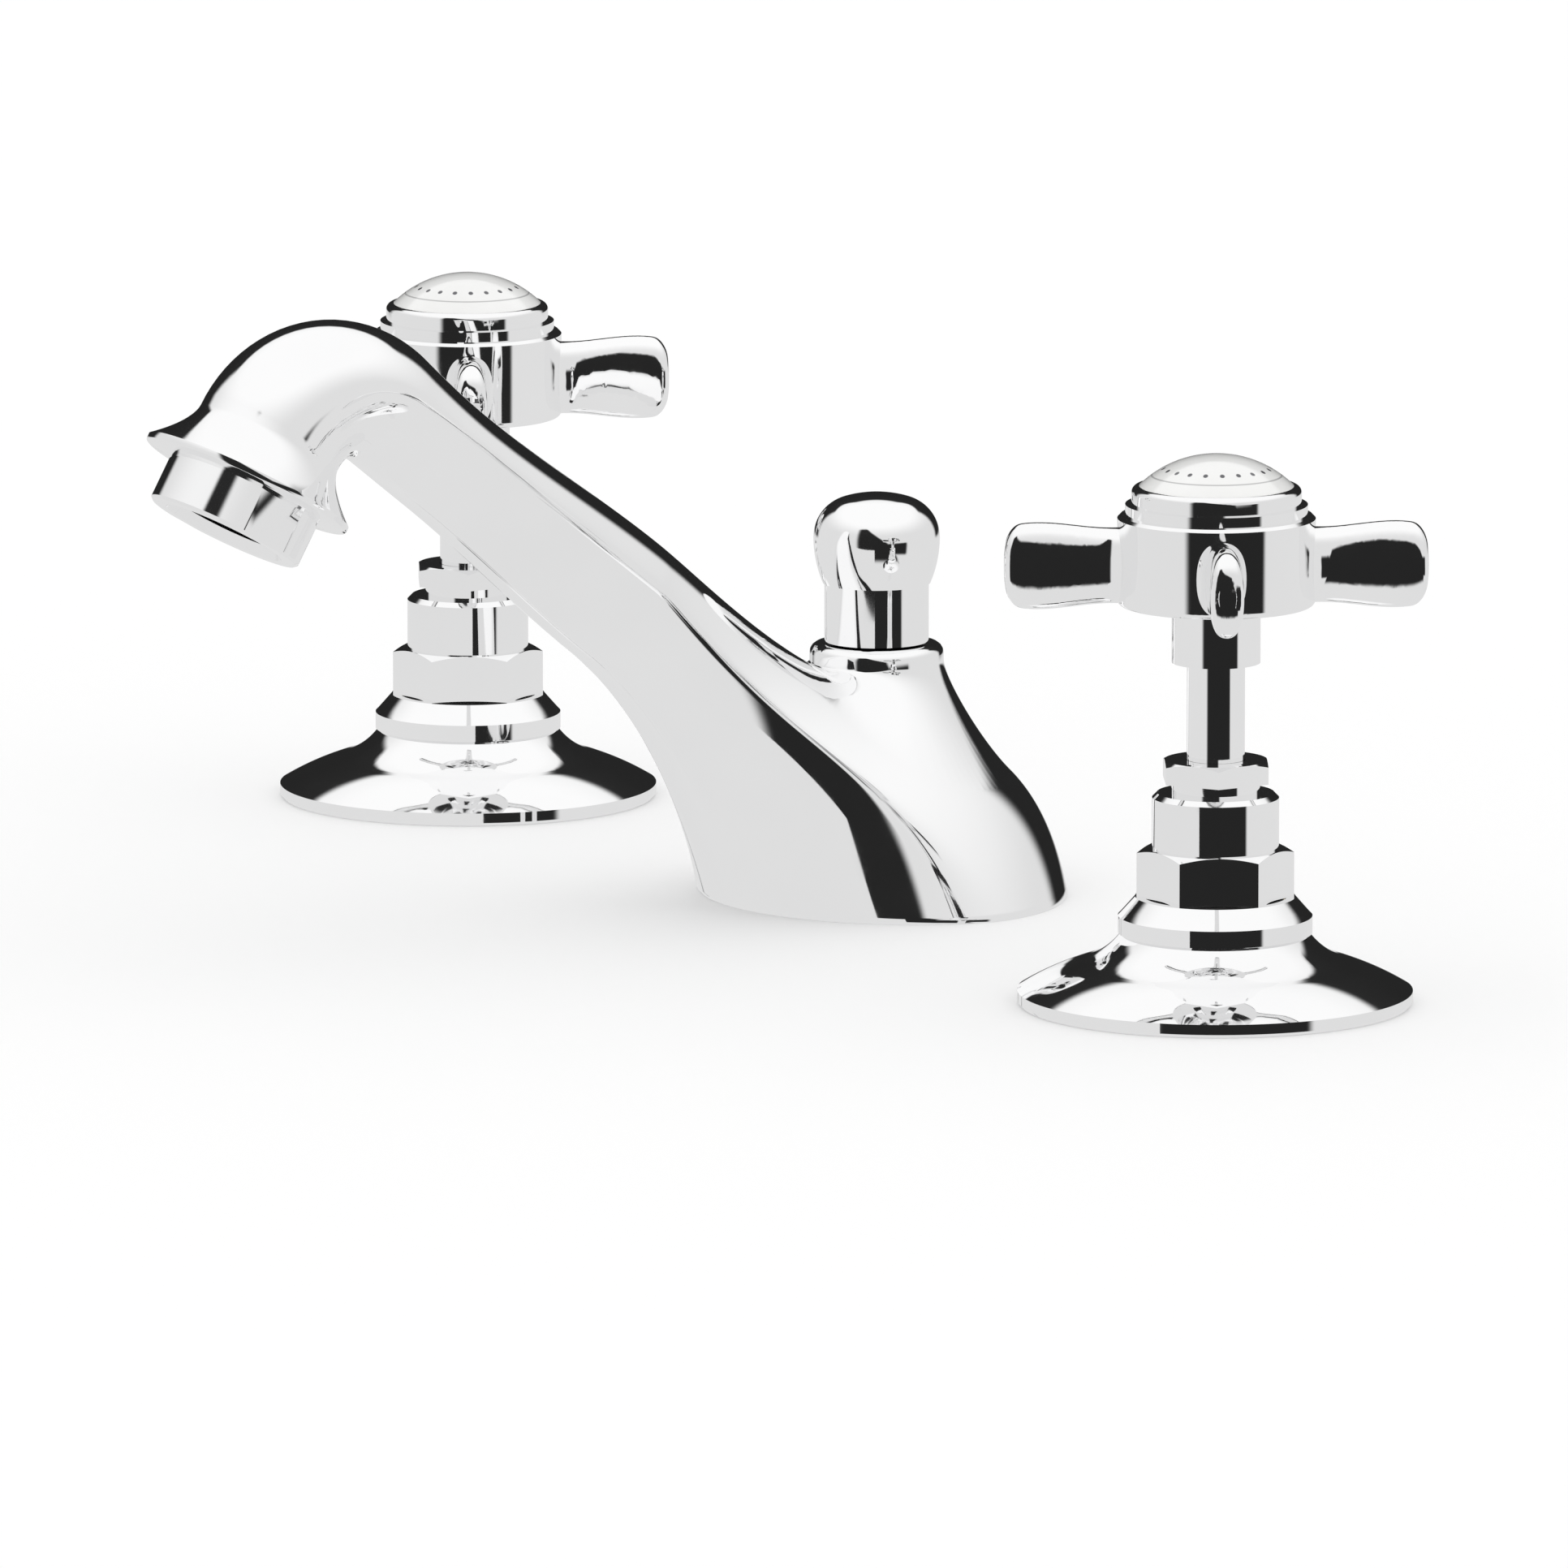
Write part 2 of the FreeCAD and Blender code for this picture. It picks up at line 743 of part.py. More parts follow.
def spout_boss():
    """The pillar under the knob, which flares into the casting."""
    radius, height, edge, flare = (size("boss_radius"), size("boss_height"), size("boss_edge"),
                                   size("boss_flare"))
    foot, neck = size("boss_foot"), size("boss_neck")
    return turned("spout_boss", [
        (0.0, foot), (radius + flare, foot),
        (radius, neck, radius + flare * FLARE_BOW, (foot + neck) / 2),
        (radius, height - edge),
        (radius - edge, height, radius - edge * CORNER_SHARE, height - edge * CORNER_SHARE),
        (0.0, height)])


def tail_offset():
    """How far the inlet tail stands in front of the knob's axis, just inside the base seal."""
    return (size("base_seal_radius") - size("base_seal_width") - size("tail_radius")
            - size("free_gap"))


def outlet_turn():
    """Turns a piece that points up so that its foot faces out of the nose."""
    return Rotation(Vector(1, 0, 0), -size("outlet_tilt").value)


def make_spout_body(axis):
    half_width = size("base_half_width")
    below_deck = place(box("below_deck", half_width * 4, half_width * 4, half_width),
                       x=-half_width * 2, y=-half_width * 2, z=-half_width)
    solid = fuse("spout_solid", [spout_skin(axis), spout_boss()])
    seal_radius, seal_height = size("base_seal_radius"), size("base_seal_height")
    hollow = doc.addObject("Part::Cone", "base_hollow")
    bind(hollow, "Radius1", seal_radius - size("base_seal_width"))
    bind(hollow, "Radius2", size("cavity_top_radius"))
    bind(hollow, "Height", size("cavity_height"))
    tall = size("cavity_height") + size("base_seal_height")
    pillars = [
        place(cylinder("tail_pillar", size("tail_boss_radius"), tall), y=-tail_offset()),
        place(cylinder("stud_pillar", size("stud_boss_radius"), tall), y=size("stud_offset")),
        cylinder("rod_pillar", size("guide_radius") + size("guide_wall"), tall)]
    for pillar in pillars:
        bind(pillar, "Placement.Base.z", seal_height)
    cavity = cut("base_cavity", hollow, pillars)
    seal_recess = cylinder("base_seal_recess", seal_radius + size("seat_gap"), seal_height)
    tail = place(cylinder("tail_thread", size("tail_radius") + size("seat_gap"),
                          size("tail_grip") + seal_height), y=-tail_offset())
    stud = place(cylinder("stud_thread", size("stud_radius") + size("seat_gap"),
                          size("stud_grip") + seal_height), y=size("stud_offset"))
    rod = cylinder("rod_bore", size("rod_bore_radius"), size("boss_height"))
    guide_depth = size("guide_length") + size("rod_seal_height")
    guide = place(cylinder("guide_bore", size("guide_radius") + size("seat_gap"), guide_depth),
                  z=size("boss_height") - guide_depth)
    inlet = (-tail_offset().value, size("tail_grip").value)
    water = along_path("waterway", [
        inlet, (inlet[0], size("waterway_turn").value), axis.root, axis.bend_end,
        axis.on_bend(0.5)[0], axis.bend_start, axis.outlet], size("waterway_radius"))
    recess = cylinder("nose_thread", size("aerator_thread_radius") + size("seat_gap"),
                      size("nose_recess"))
    recess.Placement = Placement(Vector(0, *axis.outlet), outlet_turn())
    casting = cut("spout_casting", solid, [
        below_deck, cavity, seal_recess, tail, stud, rod, guide, water, recess])
    return as_node(casting, "spout_body")


def make_aerator(axis):
    """Housing, insert and washer, on the outlet's own axis."""
    outer, thread, bore = size("aerator_radius"), size("aerator_thread_radius"), size("aerator_bore_radius")
    drop, lip = size("aerator_drop"), size("aerator_lip")
    depth, height = size("aerator_insert_depth"), size("aerator_insert_height")
    washer_height = size("aerator_washer_height")
    washer_foot = drop + size("nose_recess") - washer_height
    seat, edge = bore - size("aerator_ledge"), size("aerator_edge")
    shell = turned("aerator_shell", [
        (bore, 0.0), (outer - edge, 0.0), (outer, edge), (outer, drop), (thread, drop),
        (thread, washer_foot), (bore, washer_foot), (bore, depth), (seat, depth), (seat, lip)])
    flats = place(box("aerator_flats", size("aerator_flat_distance"), outer * 2, washer_foot),
                  x=-size("aerator_flat_distance") / 2, y=-outer)
    core = cylinder("aerator_core", thread, washer_foot)
    housing = common("aerator_flatted", shell, fuse("aerator_envelope", [flats, core]))
    disc = turned("aerator_disc", [(0.0, 0.0), (bore - size("seat_gap"), 0.0),
                                   (bore - size("seat_gap"), height), (0.0, height)])
    holes = []
    hole = size("aerator_hole_radius")
    for row, count in ((0, 1), (1, 6), (2, 12)):
        for index in range(count):
            turn = math.radians(360 * index / count)
            reach = size("aerator_hole_pitch") * row
            holes.append(place(cylinder(f"aerator_hole_{row}_{index}", hole, height),
                               x=reach * math.cos(turn) if row else 0.0,
                               y=reach * math.sin(turn) if row else 0.0))
    insert = cut("aerator_sieve", disc, holes)
    washer = ring("aerator_seal", thread, bore - lip, washer_height)
    foot = axis.up_nose(-drop.value)
    for obj, label, rise in ((housing, "aerator_housing", 0.0), (insert, "aerator_insert", depth.value),
                             (washer, "aerator_washer", washer_foot.value)):
        obj.Placement = Placement(Vector(0, foot[0] + rise * axis.inward[0],
                                         foot[1] + rise * axis.inward[1]), outlet_turn())
        as_node(obj, label)


# Where the middle of the knob's shoulder arc lies, as shares of its width and its rise
KNOB_SHOULDER_IN, KNOB_SHOULDER_UP = 0.277, 0.62


def make_popup():
    """Lift knob, its rod, and the guide and seal that the rod runs in."""
    seat = size("boss_height") + size("free_gap")
    stem, ball, ledge = size("knob_stem_radius"), size("knob_radius"), size("knob_ledge_radius")
    neck, top = size("knob_stem_height"), size("knob_height")
    rod, thread = size("rod_radius"), size("rod_thread")
    rod_drop = size("rod_tail") + size("lift_travel")
    socket = rod + size("seat_gap")
    crown, crown_radius = size("knob_crown"), size("knob_crown_radius")
    shoulder = (ball - crown_radius) * (crown_radius + crown) / (crown_radius - crown)
    widest = top - crown - shoulder
    knob = turned("popup_knob", [
        (socket, 0.0), (stem, 0.0), (stem, neck), (ledge, neck),
        (ball, widest, (ledge + ball) / 2 + size("knob_bow"), (neck + widest) / 2),
        (crown_radius, top - crown, ball - (ball - crown_radius) * KNOB_SHOULDER_IN,
         widest + shoulder * KNOB_SHOULDER_UP),
        (0.0, top, "axis"), (0.0, thread), (socket, thread)])
    place(knob, z=seat)
    shaft = cylinder("popup_rod", rod, rod_drop + seat + thread)
    place(shaft, z=-rod_drop)
    runs_in = rod + size("run_gap")
    guide = ring("rod_guide", size("guide_radius"), runs_in, size("guide_length"))
    place(guide, z=size("boss_height") - size("guide_length"))
    seal = ring("rod_seal", size("guide_radius"), runs_in, size("rod_seal_height"))
    place(seal, z=size("boss_height") - size("guide_length") - size("rod_seal_height"))
    for obj in (knob, shaft, guide, seal):
        as_node(obj, obj.Name)


def make_spout_fixings():
    """Everything that feeds the spout and clamps it to the deck."""
    seal = ring("spout_base_seal", size("base_seal_radius"),
                size("base_seal_radius") - size("base_seal_width"), size("base_seal_height"))
    as_node(seal, "spout_base_seal")
    drop, grip = size("tail_drop"), size("tail_grip")
    tail = ring("spout_inlet_tail", size("tail_radius"), size("tail_bore_radius"),
                drop + grip + size("base_seal_height"))
    as_node(place(tail, y=-tail_offset(), z=-drop), "spout_inlet_tail")
    make_tee()
    stud = cylinder("spout_stud", size("stud_radius"),
                    size("stud_drop") + size("stud_grip") + size("base_seal_height"))
    as_node(place(stud, y=size("stud_offset"), z=-size("stud_drop")), "spout_stud")
    under = -size("deck_thickness")
    gasket, plate = size("gasket_thickness"), size("clamp_thickness")
    for label, thickness, foot in (("spout_clamp_gasket", gasket, under - gasket),
                                   ("spout_clamp_plate", plate, under - gasket - plate)):
        disc = cylinder(label + "_disc", size("clamp_radius"), thickness)
        width = size("clamp_slot_width")
        slot = place(box(label + "_slot", width, size("clamp_radius"), thickness),
                     x=-width / 2, y=-size("clamp_radius"))
        slot_end = cylinder(label + "_slot_end", width / 2, thickness)
        hole = place(cylinder(label + "_hole", size("stud_radius") + size("free_gap"), thickness),
                     y=size("stud_offset"))
        clamp = cut(label + "_cut", disc, [slot, slot_end, hole])
        as_node(place(clamp, z=foot), label)
    nut_height = size("stud_nut_height")
    stud_nut = nut("spout_stud_nut", size("stud_nut_flats"), nut_height,
                   size("stud_radius") + size("seat_gap"))
    place(stud_nut, y=size("stud_offset"), z=under - gasket - plate - nut_height)
    as_node(stud_nut, "spout_stud_nut")


def make_tee():
    """Tee that joins the outlets of both valves under the spout."""
    height, grip, reach = size("tee_height"), size("tee_grip"), size("tee_reach")
    seal_height = size("tee_seal_height")
    foot = grip - size("tail_drop") - height
    trunk = cylinder("tee_trunk", size("tee_radius"), height)
    centre = (height - grip - seal_height) / 2
    sideways = Rotation(Vector(0, 1, 0), 90)
    shoulder_reach = size("branch_shoulder_reach")
    branch = place(cylinder("tee_branch", size("branch_radius"), reach * 2), x=-reach, z=centre,
                   turn=sideways)
    shoulder = place(cylinder("tee_shoulder", size("branch_radius") + size("branch_shoulder"),
                              shoulder_reach * 2), x=-shoulder_reach, z=centre, turn=sideways)
    branch_bore = place(cylinder("tee_branch_bore", size("branch_bore_radius"), reach * 2),
                        x=-reach, z=centre, turn=sideways)
    socket = place(cylinder("tee_socket", size("tail_radius") + size("seat_gap"), grip + seal_height),
                   z=height - grip - seal_height)
    riser = place(cylinder("tee_riser", size("tail_bore_radius"), height), z=centre)
    tee = cut("tee_body", fuse("tee_solid", [trunk, branch, shoulder]), [branch_bore, socket, riser])
    as_node(place(tee, y=-tail_offset(), z=foot), "inlet_tee")
    seal = ring("inlet_tee_seal", size("tail_radius"), size("tail_bore_radius"), seal_height)
    place(seal, y=-tail_offset(), z=-size("tail_drop") - seal_height)
    as_node(seal, "inlet_tee_seal")


# Side valves


def make_flange(side, x):
    """Bell-shaped cover that stands on the deck, its seal, and the lock ring on top of it."""
    radius, rim, height, wall = (size("flange_radius"), size("flange_rim"), size("flange_height"),
                                 size("flange_wall"))
    edge, seal_top = size("flange_edge"), size("flange_seal_height")
    bore, neck = size("body_radius") + size("seat_gap"), size("collar_radius")
    waist, waist_height = size("flange_waist_radius"), size("flange_waist_height")
    swell, hollow = size("flange_swell"), size("flange_hollow")
    shoulder = neck - edge
    flange = turned(f"{side}_flange", [
        (radius - wall, 0.0), (radius - edge, 0.0), (radius, edge), (radius, rim),
        (waist, waist_height, (radius + waist) / 2 + swell, (rim + waist_height) / 2 + swell),
        (shoulder, height, (waist + shoulder) / 2 - hollow, (waist_height + height) / 2 - hollow),
        (bore, height), (bore, height - wall), (shoulder - wall, height - wall),
        (waist - wall, waist_height - wall, (waist + shoulder) / 2 - wall - hollow,
         (waist_height + height) / 2 - wall - hollow),
        (radius - wall - seal_top, seal_top), (radius - wall, seal_top)])
    as_node(stand(flange, x), f"{side}_flange")
    seal = ring(f"{side}_flange_seal", radius - wall - size("seat_gap"),
                radius - wall - size("flange_seal_width"), seal_top)
    as_node(stand(seal, x), f"{side}_flange_seal")
    band, top, bevel = size("collar_band"), size("collar_height"), size("collar_edge")
    collar = turned(f"{side}_collar", [
        (bore, 0.0), (neck, 0.0), (neck, band), (neck - bevel, band + bevel),
        (size("collar_top_radius"), top), (bore, top)])
    as_node(stand(collar, x, z=height), f"{side}_collar")


def make_valve_body(side, x, inward):
    """Threaded body with its seat, inlet tail and side outlet, below the deck."""
    top = bonnet_foot_height() - size("bonnet_seal_height")
    block_top, block = size("block_top"), size("block_height")
    inlet = size("inlet_length")
    foot = block_top + block + inlet
    outer, chamber, seat = size("body_radius"), size("chamber_radius"), size("seat_radius")
    floor = inlet + size("floor_thickness")
    bonnet_foot = foot - size("bonnet_tail_drop") - size("free_gap")
    shell = turned(f"{side}_valve_shell", [
        (size("inlet_bore_radius"), 0.0), (outer, 0.0), (outer, inlet), (size("block_radius"), inlet),
        (size("block_radius"), inlet + block), (outer, inlet + block), (outer, foot + top),
        (size("body_bore_radius") + size("seat_gap"), foot + top),
        (size("body_bore_radius") + size("seat_gap"), bonnet_foot), (chamber, bonnet_foot),
        (chamber, floor), (seat, floor), (seat, floor + size("seat_rise")),
        (size("seat_bore_radius"), floor + size("seat_rise")), (size("seat_bore_radius"), inlet),
        (size("inlet_bore_radius"), inlet)])
    sideways = Rotation(Vector(0, 1, 0), 90 * inward)
    port_height = inlet + size("port_height")
    port = place(cylinder(f"{side}_port", size("port_radius"), size("port_reach")), z=port_height,
                 turn=sideways)
    shoulder = place(cylinder(f"{side}_port_shoulder", size("port_radius") + size("port_shoulder"),
                              size("port_shoulder_reach")), z=port_height, turn=sideways)
    core = cylinder(f"{side}_core", chamber + size("port_wall"), foot + top)
    port_only = cut(f"{side}_port_shell", fuse(f"{side}_port_solid", [port, shoulder]), [core])
    port_bore = place(cylinder(f"{side}_port_bore", size("port_bore_radius"), size("port_reach")),
                      z=port_height, turn=sideways)
    body = cut(f"{side}_valve_casting", fuse(f"{side}_valve_solid", [shell, port_only]), [port_bore])
    as_node(stand(body, x, z=-foot), f"{side}_valve_body")


def make_deck_clamp(side, x):
    bore = size("body_radius") + size("free_gap")
    under = -size("deck_thickness")
    gasket, washer, nut_height = (size("gasket_thickness"), size("washer_thickness"),
                                  size("backnut_height"))
    soft = ring(f"{side}_deck_gasket", size("gasket_radius"), bore, gasket)
    as_node(stand(soft, x, z=under - gasket), f"{side}_deck_gasket")
    hard = ring(f"{side}_deck_washer", size("washer_radius"), bore, washer)
    as_node(stand(hard, x, z=under - gasket - washer), f"{side}_deck_washer")
    backnut = nut(f"{side}_backnut", size("backnut_flats"), nut_height,
                  size("body_radius") + size("seat_gap"))
    as_node(stand(backnut, x, z=under - gasket - washer - nut_height), f"{side}_backnut")


def bonnet_foot_height():
    return size("flange_height") + size("collar_height")


def make_bonnet(side, x):
    """Headwork: hexagon, barrel with the packing box, and threaded tail."""
    base = bonnet_foot_height()
    tail = base + size("bonnet_tail_drop")
    hex_height, barrel_height = size("bonnet_hex_height"), size("bonnet_barrel_height")
    barrel, chamfer = size("bonnet_barrel_radius"), size("bonnet_chamfer")
    top = tail + hex_height + barrel_height
    hexagonal = place(hex_blank(f"{side}_bonnet", size("bonnet_flats"), hex_height, False), z=tail)
    stem = turned(f"{side}_bonnet_stem", [
        (0.0, 0.0), (size("body_bore_radius"), 0.0), (size("body_bore_radius"), tail),
        (barrel, tail), (barrel, top - chamfer), (barrel - chamfer, top), (0.0, top)])
    thread = size("spindle_thread_radius") + size("run_gap")
    spindle = size("spindle_radius") + size("run_gap")
    packing = size("packing_radius") + size("seat_gap")
    packing_foot = top - size("gland_thread_length") - size("packing_height")
    thread_top = (size("bonnet_tail_drop") + size("spindle_thread_top") + size("spindle_rise")
                  + size("thread_run_out"))
    bore = turned(f"{side}_bonnet_bore", [
        (0.0, 0.0), (thread, 0.0), (thread, thread_top), (spindle, thread_top), (spindle, packing_foot),
        (packing, packing_foot), (packing, top), (0.0, top)])
    bonnet = cut(f"{side}_headwork", fuse(f"{side}_bonnet_solid", [hexagonal, stem]), [bore])
    as_node(stand(bonnet, x, z=-size("bonnet_tail_drop")), f"{side}_bonnet")
    seal = ring(f"{side}_bonnet_seal", size("body_radius") - size("bonnet_seal_inset"),
                size("body_bore_radius") + size("seat_gap"), size("bonnet_seal_height"))
    as_node(stand(seal, x, z=base - size("bonnet_seal_height")), f"{side}_bonnet_seal")
    make_gland(side, x, base + hex_height + barrel_height)


def make_gland(side, x, top):
    """Gland nut above the bonnet, and the packing that it presses on the spindle."""
    thread, neck = size("gland_thread_length"), size("gland_neck_height")
    bore = size("spindle_radius") + size("run_gap")
    stem = turned(f"{side}_gland_stem", [
        (0.0, 0.0), (size("packing_radius"), 0.0), (size("packing_radius"), thread),
        (size("gland_neck_radius"), thread), (size("gland_neck_radius"), thread + neck),
        (0.0, thread + neck)])
    head = place(hex_blank(f"{side}_gland", size("gland_flats"), size("gland_hex_height"), False),
                 z=thread + neck, turn=Rotation(Vector(0, 0, 1), 30))
    hole = cylinder(f"{side}_gland_bore", bore, thread + neck + size("gland_hex_height"))
    gland = cut(f"{side}_gland", fuse(f"{side}_gland_solid", [stem, head]), [hole])
    as_node(stand(gland, x, z=top - thread), f"{side}_gland_nut")
    packing = ring(f"{side}_gland_packing", size("packing_radius"), bore, size("packing_height"))
    as_node(stand(packing, x, z=top - thread - size("packing_height")), f"{side}_gland_packing")


def seat_height():
    """Height of the valve seat, which the jumper washer closes."""
    return size("floor_thickness") + size("seat_rise") - size("block_top") - size("block_height")


def make_spindle(side, x):
    """Rising spindle with the square for its handle, and the jumper in its foot."""
    washer, plate = size("jumper_washer_thickness"), size("jumper_thickness")
    plate_foot = seat_height() + washer
    foot = plate_foot + plate + size("free_gap")
    shoulder = size("handle_bottom") - foot
    thread_top = size("spindle_thread_top") - foot
    square_top = shoulder + size("spindle_square_height")
    radius, thread = size("spindle_radius"), size("spindle_thread_radius")
    hole = size("jumper_stem_radius") + size("run_gap")
    tapped = size("screw_radius") + size("seat_gap")
    screw_foot = handle_web_top() - foot - size("screw_length") - size("free_gap")
    half_square = size("spindle_square") / 2
    core = turned(f"{side}_spindle_core", [
        (hole, 0.0), (thread, 0.0), (thread, thread_top), (radius, thread_top), (radius, square_top),
        (tapped, square_top), (tapped, screw_foot), (0.0, screw_foot),
        (0.0, size("spindle_hole_depth")), (hole, size("spindle_hole_depth"))])
    square = place(box(f"{side}_spindle_square", half_square * 2, half_square * 2, square_top),
                   x=-half_square, y=-half_square)
    round_part = cylinder(f"{side}_spindle_round", thread, shoulder)
    spindle = common(f"{side}_spindle_shape", core, fuse(f"{side}_spindle_envelope", [square, round_part]))
    as_node(stand(spindle, x, z=foot, turn=handle_turn()), f"{side}_spindle")
    stem, jumper_top = size("jumper_stem_radius"), plate + size("jumper_stem_height")
    jumper = turned(f"{side}_jumper", [
        (0.0, 0.0), (size("jumper_radius"), 0.0), (size("jumper_radius"), plate),
        (stem, plate), (stem, jumper_top), (0.0, jumper_top)])
    as_node(stand(jumper, x, z=plate_foot), f"{side}_jumper")
    seal = cylinder(f"{side}_jumper_washer", size("jumper_radius"), washer)
    as_node(stand(seal, x, z=seat_height()), f"{side}_jumper_washer")


def handle_turn():
    return Rotation(Vector(0, 0, 1), size("arm_turn").value)


def handle_web_top():
    """Height of the floor inside the handle, which the screw's head bears on."""
    return size("handle_bottom") + size("spindle_square_height") + size("free_gap") + size("hub_web")


def make_handle(side, x):
    """Crosshead: turned hub with four paddle arms."""
    bottom = size("handle_bottom")
    collar, hub = size("handle_collar_height"), size("hub_height")
    radius, edge, ring_radius = size("hub_radius"), size("hub_edge"), size("hub_ring_radius")
    corner = edge * CORNER_SHARE
    top = collar + hub
    web = handle_web_top() - bottom
    recess = size("hub_recess_radius")
    rim = top + size("hub_ring_height")
    core = turned(f"{side}_hub", [
        (0.0, 0.0), (size("handle_collar_radius"), 0.0), (size("handle_collar_radius"), collar),
        (radius - edge, collar), (radius, collar + edge, radius - corner, collar + corner),
        (radius, top - edge / 2), (radius - edge / 2, top), (ring_radius, top), (ring_radius, rim),
        (recess, rim), (recess, web), (0.0, web)])
    arms = []
    for index in range(4):
        quarter = Rotation(Vector(0, 0, 1), 90 * index)
        arms.append(place(make_arm(f"{side}_arm_{index}"), z=collar + size("arm_height"), turn=quarter))
    side_length = size("spindle_square") + size("seat_gap") * 2
    socket_height = size("spindle_square_height") + size("free_gap")
    socket = place(box(f"{side}_socket", side_length, side_length, socket_height),
                   x=-side_length / 2, y=-side_length / 2)
    screw_hole = cylinder(f"{side}_screw_hole", size("screw_radius") + size("free_gap"), web)
    inside = place(cylinder(f"{side}_recess", recess, rim - web), z=web)
    handle = cut(f"{side}_crosshead", fuse(f"{side}_handle_solid", [core] + arms),
                 [socket, screw_hole, inside])
    as_node(stand(handle, x, z=bottom, turn=handle_turn()), f"{side}_handle")
    make_handle_screw(side, x)


# How an arm's section is rounded, how its foot spreads, and where its sections stand
ARM_SIDE_PULL, ARM_EDGE_PULL = 0.62, 0.78
ARM_SPREAD_POWER = 2.2
ARM_FOOT_STEPS, ARM_TIP_STEPS = (0.0, 0.2, 0.4, 0.6, 0.8, 1.0), (0.0, 0.4, 0.7, 0.9, 1.0)


def arm_section(distance):
    """Half width and half depth of an arm at a distance from the handle's axis."""
    root = size("hub_recess_radius").value + size("arm_overlap").value
    reach, tip, edge = size("arm_reach").value, size("arm_tip_length").value, size("arm_edge").value
    foot = max(0.0, 1 - (distance - root) / (size("arm_pad_reach").value - root)) ** ARM_SPREAD_POWER
    width = size("arm_thickness").value
    width += (size("arm_pad_width").value - width) * foot
    depth = size("arm_root_depth").value
    pad = size("arm_pad_depth").value - depth
    depth += (size("arm_tip_depth").value - depth) * (distance - root) / (reach - tip - root)
    depth += pad * foot

    def rounding(length, loss):
        past = max(0.0, distance - reach + length) / length
        return loss * (1 - math.sqrt(max(0.0, 1 - past * past)))

    return width / 2 - rounding(edge, edge), depth / 2 - rounding(tip, size("arm_tip_corner").value)


def arm_wire(distance):
    """An arm's rounded outline, across it at a distance from the handle's axis."""
    width, depth = arm_section(distance)
    quarter = [(width, 0.0), (width, ARM_SIDE_PULL * depth), (ARM_EDGE_PULL * width, depth), (0.0, depth)]
    edges = []
    for side, up in ((1, 1), (-1, 1), (-1, -1), (1, -1)):
        curve = Part.BezierCurve()
        poles = quarter if side == up else quarter[::-1]
        curve.setPoles([Vector(distance, side * u, up * v) for u, v in poles])
        edges.append(curve.toShape())
    return Part.Wire(edges)


def make_arm(name):
    """One paddle, lofted from a spreading foot inside the hub to a deep, rounded tip."""
    root = size("hub_recess_radius").value + size("arm_overlap").value
    foot_end, reach, tip = size("arm_pad_reach").value, size("arm_reach").value, size("arm_tip_length").value
    distances = [root + (foot_end - root) * share for share in ARM_FOOT_STEPS]
    distances += [reach - tip + tip * share for share in ARM_TIP_STEPS]
    wires = []
    for index, distance in enumerate(distances):
        wire = doc.addObject("Part::Feature", f"{name}_section_{index}")
        wire.Shape = arm_wire(distance)
        wires.append(wire)
    arm = doc.addObject("Part::Loft", name)
    arm.Sections = wires
    arm.Solid = True
    arm.Ruled = False
    return arm


def make_handle_screw(side, x):
    head, head_height = size("screw_head_radius"), size("screw_head_height")
    length, shank, bevel = size("screw_length"), size("screw_radius"), size("screw_head_bevel")
    blank = turned(f"{side}_screw_blank", [
        (0.0, 0.0), (shank, 0.0), (shank, length), (head, length), (head, length + head_height - bevel),
        (head - bevel, length + head_height), (0.0, length + head_height)])
    width, depth = size("screw_slot_width"), size("screw_slot_depth")
    slot = place(box(f"{side}_screw_slot", head * 2, width, depth), x=-head, y=-width / 2,
                 z=length + head_height - depth)
    screw = cut(f"{side}_screw", blank, [slot])
    as_node(stand(screw, x, z=handle_web_top() - length, turn=handle_turn()), f"{side}_handle_screw")


def make_cap(side, x):
    """Screw cap on the handle, and the white index set in it."""
    seat = (size("handle_bottom") + size("handle_collar_height") + size("hub_height")
            + size("hub_ring_height"))
    spigot, height, edge = size("cap_spigot_length"), size("cap_height"), size("cap_edge")
    outer, bore = size("cap_radius"), size("cap_bore_radius")
    corner = edge * CORNER_SHARE
    index_seat, gap = size("index_seat"), size("seat_gap")
    index_radius = size("index_radius")
    thread = size("hub_recess_radius") - gap
    top = spigot + height
    cap = turned(f"{side}_cap", [
        (bore, 0.0), (thread, 0.0), (thread, spigot), (outer, spigot), (outer, top - edge),
        (outer - edge, top, outer - corner, top - corner), (index_radius + gap, top),
        (index_radius + gap, top - index_seat), (bore, top - index_seat)])
    as_node(stand(cap, x, z=seat - spigot), f"{side}_cap")
    foot, dome = size("index_spigot_length"), size("index_dome")
    rim = foot + index_seat
    index = turned(f"{side}_index", [
        (0.0, 0.0), (bore - gap, 0.0), (bore - gap, foot), (index_radius, foot), (index_radius, rim),
        (0.0, rim + dome, "axis")])
    as_node(stand(index, x, z=seat + height - index_seat - foot), f"{side}_index")


def make_valve(side, direction):
    x = size("valve_spacing") * (0.5 * direction)
    make_flange(side, x)
    make_valve_body(side, x, -direction)
    make_deck_clamp(side, x)
    make_bonnet(side, x)
    make_spindle(side, x)
    make_handle(side, x)
    make_cap(side, x)


spout_axis = SpoutAxis()
make_spout_body(spout_axis)
make_aerator(spout_axis)
make_popup()
make_spout_fixings()
for valve_side, valve_direction in (("left", -1), ("right", 1)):
    make_valve(valve_side, valve_direction)
doc.recompute()

